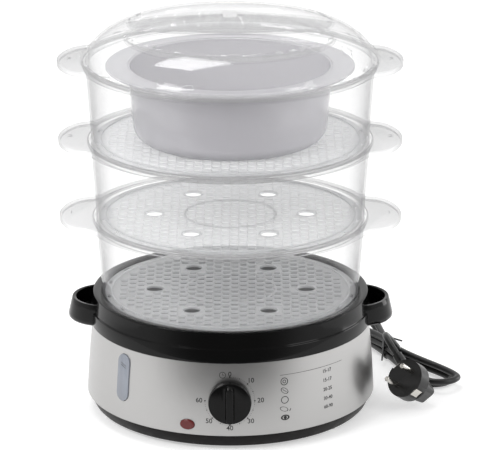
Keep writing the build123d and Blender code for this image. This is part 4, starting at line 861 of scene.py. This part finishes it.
# Inner pieces, with their loose triangles merged and their round faces smooth
bodyOf = {nodeName: body for body, members in frame["record"]["behaviour"]["bodies"].items()
          for nodeName in members}
slotOf = {entry["node"]: entry["material_slot"] for entry in frame["record"]["subparts"]}
innerSet = {
    "water_tank": 0.3, "drip_tray": 0.3, "tray_chimney": 0.2, "steam_sleeve": 0.2, "heater_plate": 0.3,
    "heater_clamp": 0.1, "timer_bracket": 0.1, "timer_case": 0.3, "timer_shaft": 0.1, "lamp_holder": 0.1,
    "terminal_block": 0.2, "gauge_duct": 0, "tank_screws": 0, "base_screws": 0, "clamp_screws": 0,
    "timer_screws": 0, "timer_bell": 0.1, "heater_gasket": 0, "window_gasket": 0, "heating_element": 0,
    "thermostat": 0.1, "thermal_fuse": 0, "inner_lead": 0, "live_wire": 0, "switched_wire": 0,
    "fuse_wire_in": 0, "fuse_wire_out": 0, "neutral_wire": 0, "earth_wire": 0, "lamp_lead": 0,
}
for nodeName, edgeWidth in innerSet.items():
    words = nodeName.split("_")
    pieceName = words[0] + "".join(word.title() for word in words[1:])
    dressedCopy(nodeName, pieceName, edgeWidth, 1, 35, nodeMaterials[nodeName], bodyOf[nodeName],
                slotOf[nodeName])
print("inner pieces made")

# Printed marks on the skirt: each glyph is thin and lies flat where it stands
marks = []


def placeOnSkirt(piece, turn, height, spin=0.0):
    lean = math.atan2(skirtRadius(height - 2) - skirtRadius(height + 2), 4)
    piece.matrix_world = (frontMatrix(turn, height, skirtRadius(height) + 0.02, lean)
                          @ Matrix.Rotation(math.radians(spin), 4, "Z"))
    applyPlace(piece)
    marks.append(piece)


def printWord(word, size, turn, height):
    placeOnSkirt(flatText(word, size, 0.00004, 3, offset=0.00007), turn, height)


def printDot(radius, turn, height):
    placeOnSkirt(cylinderCutter(radius, 0.1, (0, 0, 0), vertices=12), turn, height)


def printRing(outer, inner, turn, height, squash=1.0, spin=0.0):
    piece = turnedShell("markRing", [(inner, -0.04), (outer, -0.04), (outer, 0.04), (inner, 0.04)], 28, 35)
    piece.scale = (1, squash, 1)
    applyPlace(piece)
    placeOnSkirt(piece, turn, height, spin)


def flatBar(length, thickness, depth, edge):
    deselectAll()
    bpy.ops.mesh.primitive_cube_add(size=1)
    piece = bpy.context.object
    piece.scale = (length / 1000, thickness / 1000, depth)
    applyPlace(piece)
    bpy.ops.object.mode_set(mode="EDIT")
    bpy.ops.mesh.select_all(action="SELECT")
    bpy.ops.mesh.bevel(offset=edge, segments=1, affect="EDGES")
    bpy.ops.object.mode_set(mode="OBJECT")
    return piece


def printBar(length, thickness, turn, height, spin=0.0):
    placeOnSkirt(flatBar(length, thickness, 0.00009, 0.00002), turn, height, spin)


# Dial: minutes from nought at the top, numbers outside their dots
dial = {"center": 48.0, "dots": 22.4, "numbers": 26.6, "size": 6.2, "perMinute": 4.5}


def dialSpot(minutes, reach):
    angle = math.radians(90 - dial["perMinute"] * minutes)
    height = dial["center"] + reach * math.sin(angle)
    return -math.degrees(reach * math.cos(angle) / skirtRadius(height)), height


for minutes in range(0, 61, 10):
    nudge = 1.2 if minutes in (20, 60) else -1.6 if minutes in (0, 40) else 0
    printWord(str(minutes), dial["size"], *dialSpot(minutes, dial["numbers"] + nudge))
for minutes in range(0, 61):
    dotRadius = 0.72 if minutes % 10 == 0 else 0.5 if minutes % 5 == 0 else 0.26
    printDot(dotRadius, *dialSpot(minutes, dial["dots"]))

# Clock sign above the dial, then the table: a sign and a range of minutes in each row, a line on top
printRing(3.0, 2.5, 2.9, 72.2)
printBar(1.9, 0.4, 2.9, 73.0, 90)
printBar(1.5, 0.4, 2.55, 72.2, 0)
tableSet = {"signs": -22, "words": -42.2, "wordSize": 4.6, "wordRise": 1.6, "line": 69.2,
            "lineStart": -20.3, "lineStep": 2.57, "lineParts": 12}
tableRows = ((63.1, "15-17"), (54.6, "15-17"), (46.0, "20-25"), (37.6, "30-40"), (29.6, "60-90"))
for number, (height, minutes) in enumerate(tableRows):
    if number == 0:
        printRing(3.6, 2.9, tableSet["signs"], height)
        printRing(1.7, 1.1, tableSet["signs"], height)
    elif number == 1:
        printRing(4.0, 3.3, tableSet["signs"], height, 0.6, -35)
        printBar(4.6, 0.5, tableSet["signs"], height, -35)
    elif number == 2:
        printRing(3.7, 3.0, tableSet["signs"], height, 0.94)
    elif number == 3:
        printRing(4.2, 3.5, -21.6, height, 0.5, -20)
        printBar(2.6, 0.7, -24.2, height - 1.4, 60)
    else:
        printRing(4.2, 2.6, tableSet["signs"], height, 0.62)
        printDot(1.6, tableSet["signs"], height)
    printWord(minutes, tableSet["wordSize"], tableSet["words"], height + tableSet["wordRise"])
for number in range(tableSet["lineParts"]):
    printBar(5.95, 0.35, tableSet["lineStart"] - tableSet["lineStep"] * (number + 0.5), tableSet["line"])
printedMarks = joinTo(*marks)
printedMarks.name = "printedMarks"
wear(printedMarks, printInk)
settle(printedMarks, "base", "gloss_black")
print("marks printed")

# Water marks on the window
windowMarks = []
for height in windowSet["marks"]:
    piece = flatBar(7.0, 0.5, 0.00012, 0.00003)
    piece.matrix_world = (
        frontMatrix(windowSet["turn"], windowSet["height"],
                    skirtRadius(windowSet["height"]) + windowSet["markProud"], windowLean)
        @ Matrix.Translation((0, (height - windowSet["height"]) / 1000, 0))
        @ Matrix.Rotation(-0.35, 4, "Z"))
    applyPlace(piece)
    windowMarks.append(piece)
levelMarks = joinTo(*windowMarks)
levelMarks.name = "levelMarks"
wear(levelMarks, printInk)
settle(levelMarks, "base", "gloss_black")
print("water marks made")


# Light and stage
def softbox(name, place, aim, width, height, power):
    lamp = bpy.data.lights.new(name, "AREA")
    lamp.shape = "RECTANGLE"
    lamp.size = width
    lamp.size_y = height
    lamp.energy = power
    holder = bpy.data.objects.new(name, lamp)
    scene.collection.objects.link(holder)
    holder.location = place
    holder.rotation_euler = (Vector(aim) - Vector(place)).to_track_quat("-Z", "Y").to_euler()


softbox("keyLeft", (-1.3, -1.2, 1.5), (0, 0, 0.2), 0.9, 0.9, 20)
softbox("fillRight", (1.8, -1.0, 1.0), (0, 0, 0.2), 1.0, 1.2, 11)
softbox("sideRight", (2.1, 0.8, 0.5), (0, 0, 0.1), 0.8, 1.0, 9)
softbox("topBack", (-0.5, 0.5, 2.1), (0, 0, 0.2), 0.9, 0.7, 14)

stageSet = {"tone": 0.72, "roughness": 0.9, "glow": 0.46, "behind": 1.65, "drop": 0.0005,
            "scale": (3, 2, 1)}
tone = stageSet["tone"]
stageWhite, stageShader = startMaterial("stageWhite", (tone, tone, tone), stageSet["roughness"])
stageTree = stageWhite.node_tree
stageRays = stageTree.nodes.new("ShaderNodeLightPath")
stageSeen = mathNode(stageTree, "MAXIMUM")
stageAll = mathNode(stageTree, "MAXIMUM")
stageGlow = mathNode(stageTree, "MULTIPLY", stageSet["glow"])
stageTree.links.new(stageRays.outputs["Is Camera Ray"], stageSeen.inputs[0])
stageTree.links.new(stageRays.outputs["Is Transmission Ray"], stageSeen.inputs[1])
stageTree.links.new(stageSeen.outputs["Value"], stageAll.inputs[0])
stageTree.links.new(stageRays.outputs["Is Glossy Ray"], stageAll.inputs[1])
stageTree.links.new(stageAll.outputs["Value"], stageGlow.inputs[0])
stageShader.inputs["Emission Color"].default_value = (1, 1, 1, 1)
stageTree.links.new(stageGlow.outputs["Value"], stageShader.inputs["Emission Strength"])
bpy.ops.mesh.primitive_plane_add(size=2, location=(0, stageSet["behind"], -stageSet["drop"]))
floor = bpy.context.object
floor.name = "stageFloor"
floor.scale = stageSet["scale"]
applyPlace(floor)
wear(floor, stageWhite)

# The camera sees a white world. Reflections see it white behind and beside, with a dim room in front
worldSet = {"dim": 0.12, "dimFrom": -0.95, "dimTo": -0.35, "ambient": 0.62}
world = bpy.data.worlds.new("studio")
scene.world = world
world.use_nodes = True
worldTree = world.node_tree
backdrop = worldTree.nodes["Background"]
backdrop.inputs["Color"].default_value = (1, 1, 1, 1)
rays = worldTree.nodes.new("ShaderNodeLightPath")
direction = worldTree.nodes.new("ShaderNodeTexCoord")
parts = worldTree.nodes.new("ShaderNodeSeparateXYZ")
room = worldTree.nodes.new("ShaderNodeMapRange")
room.interpolation_type = "SMOOTHSTEP"
room.inputs["From Min"].default_value = worldSet["dimFrom"]
room.inputs["From Max"].default_value = worldSet["dimTo"]
room.inputs["To Min"].default_value = worldSet["dim"]
room.inputs["To Max"].default_value = 1.0
seen = mathNode(worldTree, "MAXIMUM")
mirrored = worldTree.nodes.new("ShaderNodeMix")
mirrored.data_type = "FLOAT"
mirrored.inputs["A"].default_value = worldSet["ambient"]
strength = worldTree.nodes.new("ShaderNodeMix")
strength.data_type = "FLOAT"
strength.inputs["B"].default_value = 1.0
for source, target in (
        (direction.outputs["Generated"], parts.inputs["Vector"]),
        (parts.outputs["Y"], room.inputs["Value"]),
        (rays.outputs["Is Glossy Ray"], mirrored.inputs["Factor"]),
        (room.outputs["Result"], mirrored.inputs["B"]),
        (rays.outputs["Is Camera Ray"], seen.inputs[0]),
        (rays.outputs["Is Transmission Ray"], seen.inputs[1]),
        (seen.outputs["Value"], strength.inputs["Factor"]),
        (mirrored.outputs["Result"], strength.inputs["A"]),
        (strength.outputs["Result"], backdrop.inputs["Strength"])):
    worldTree.links.new(source, target)
print("stage lit")
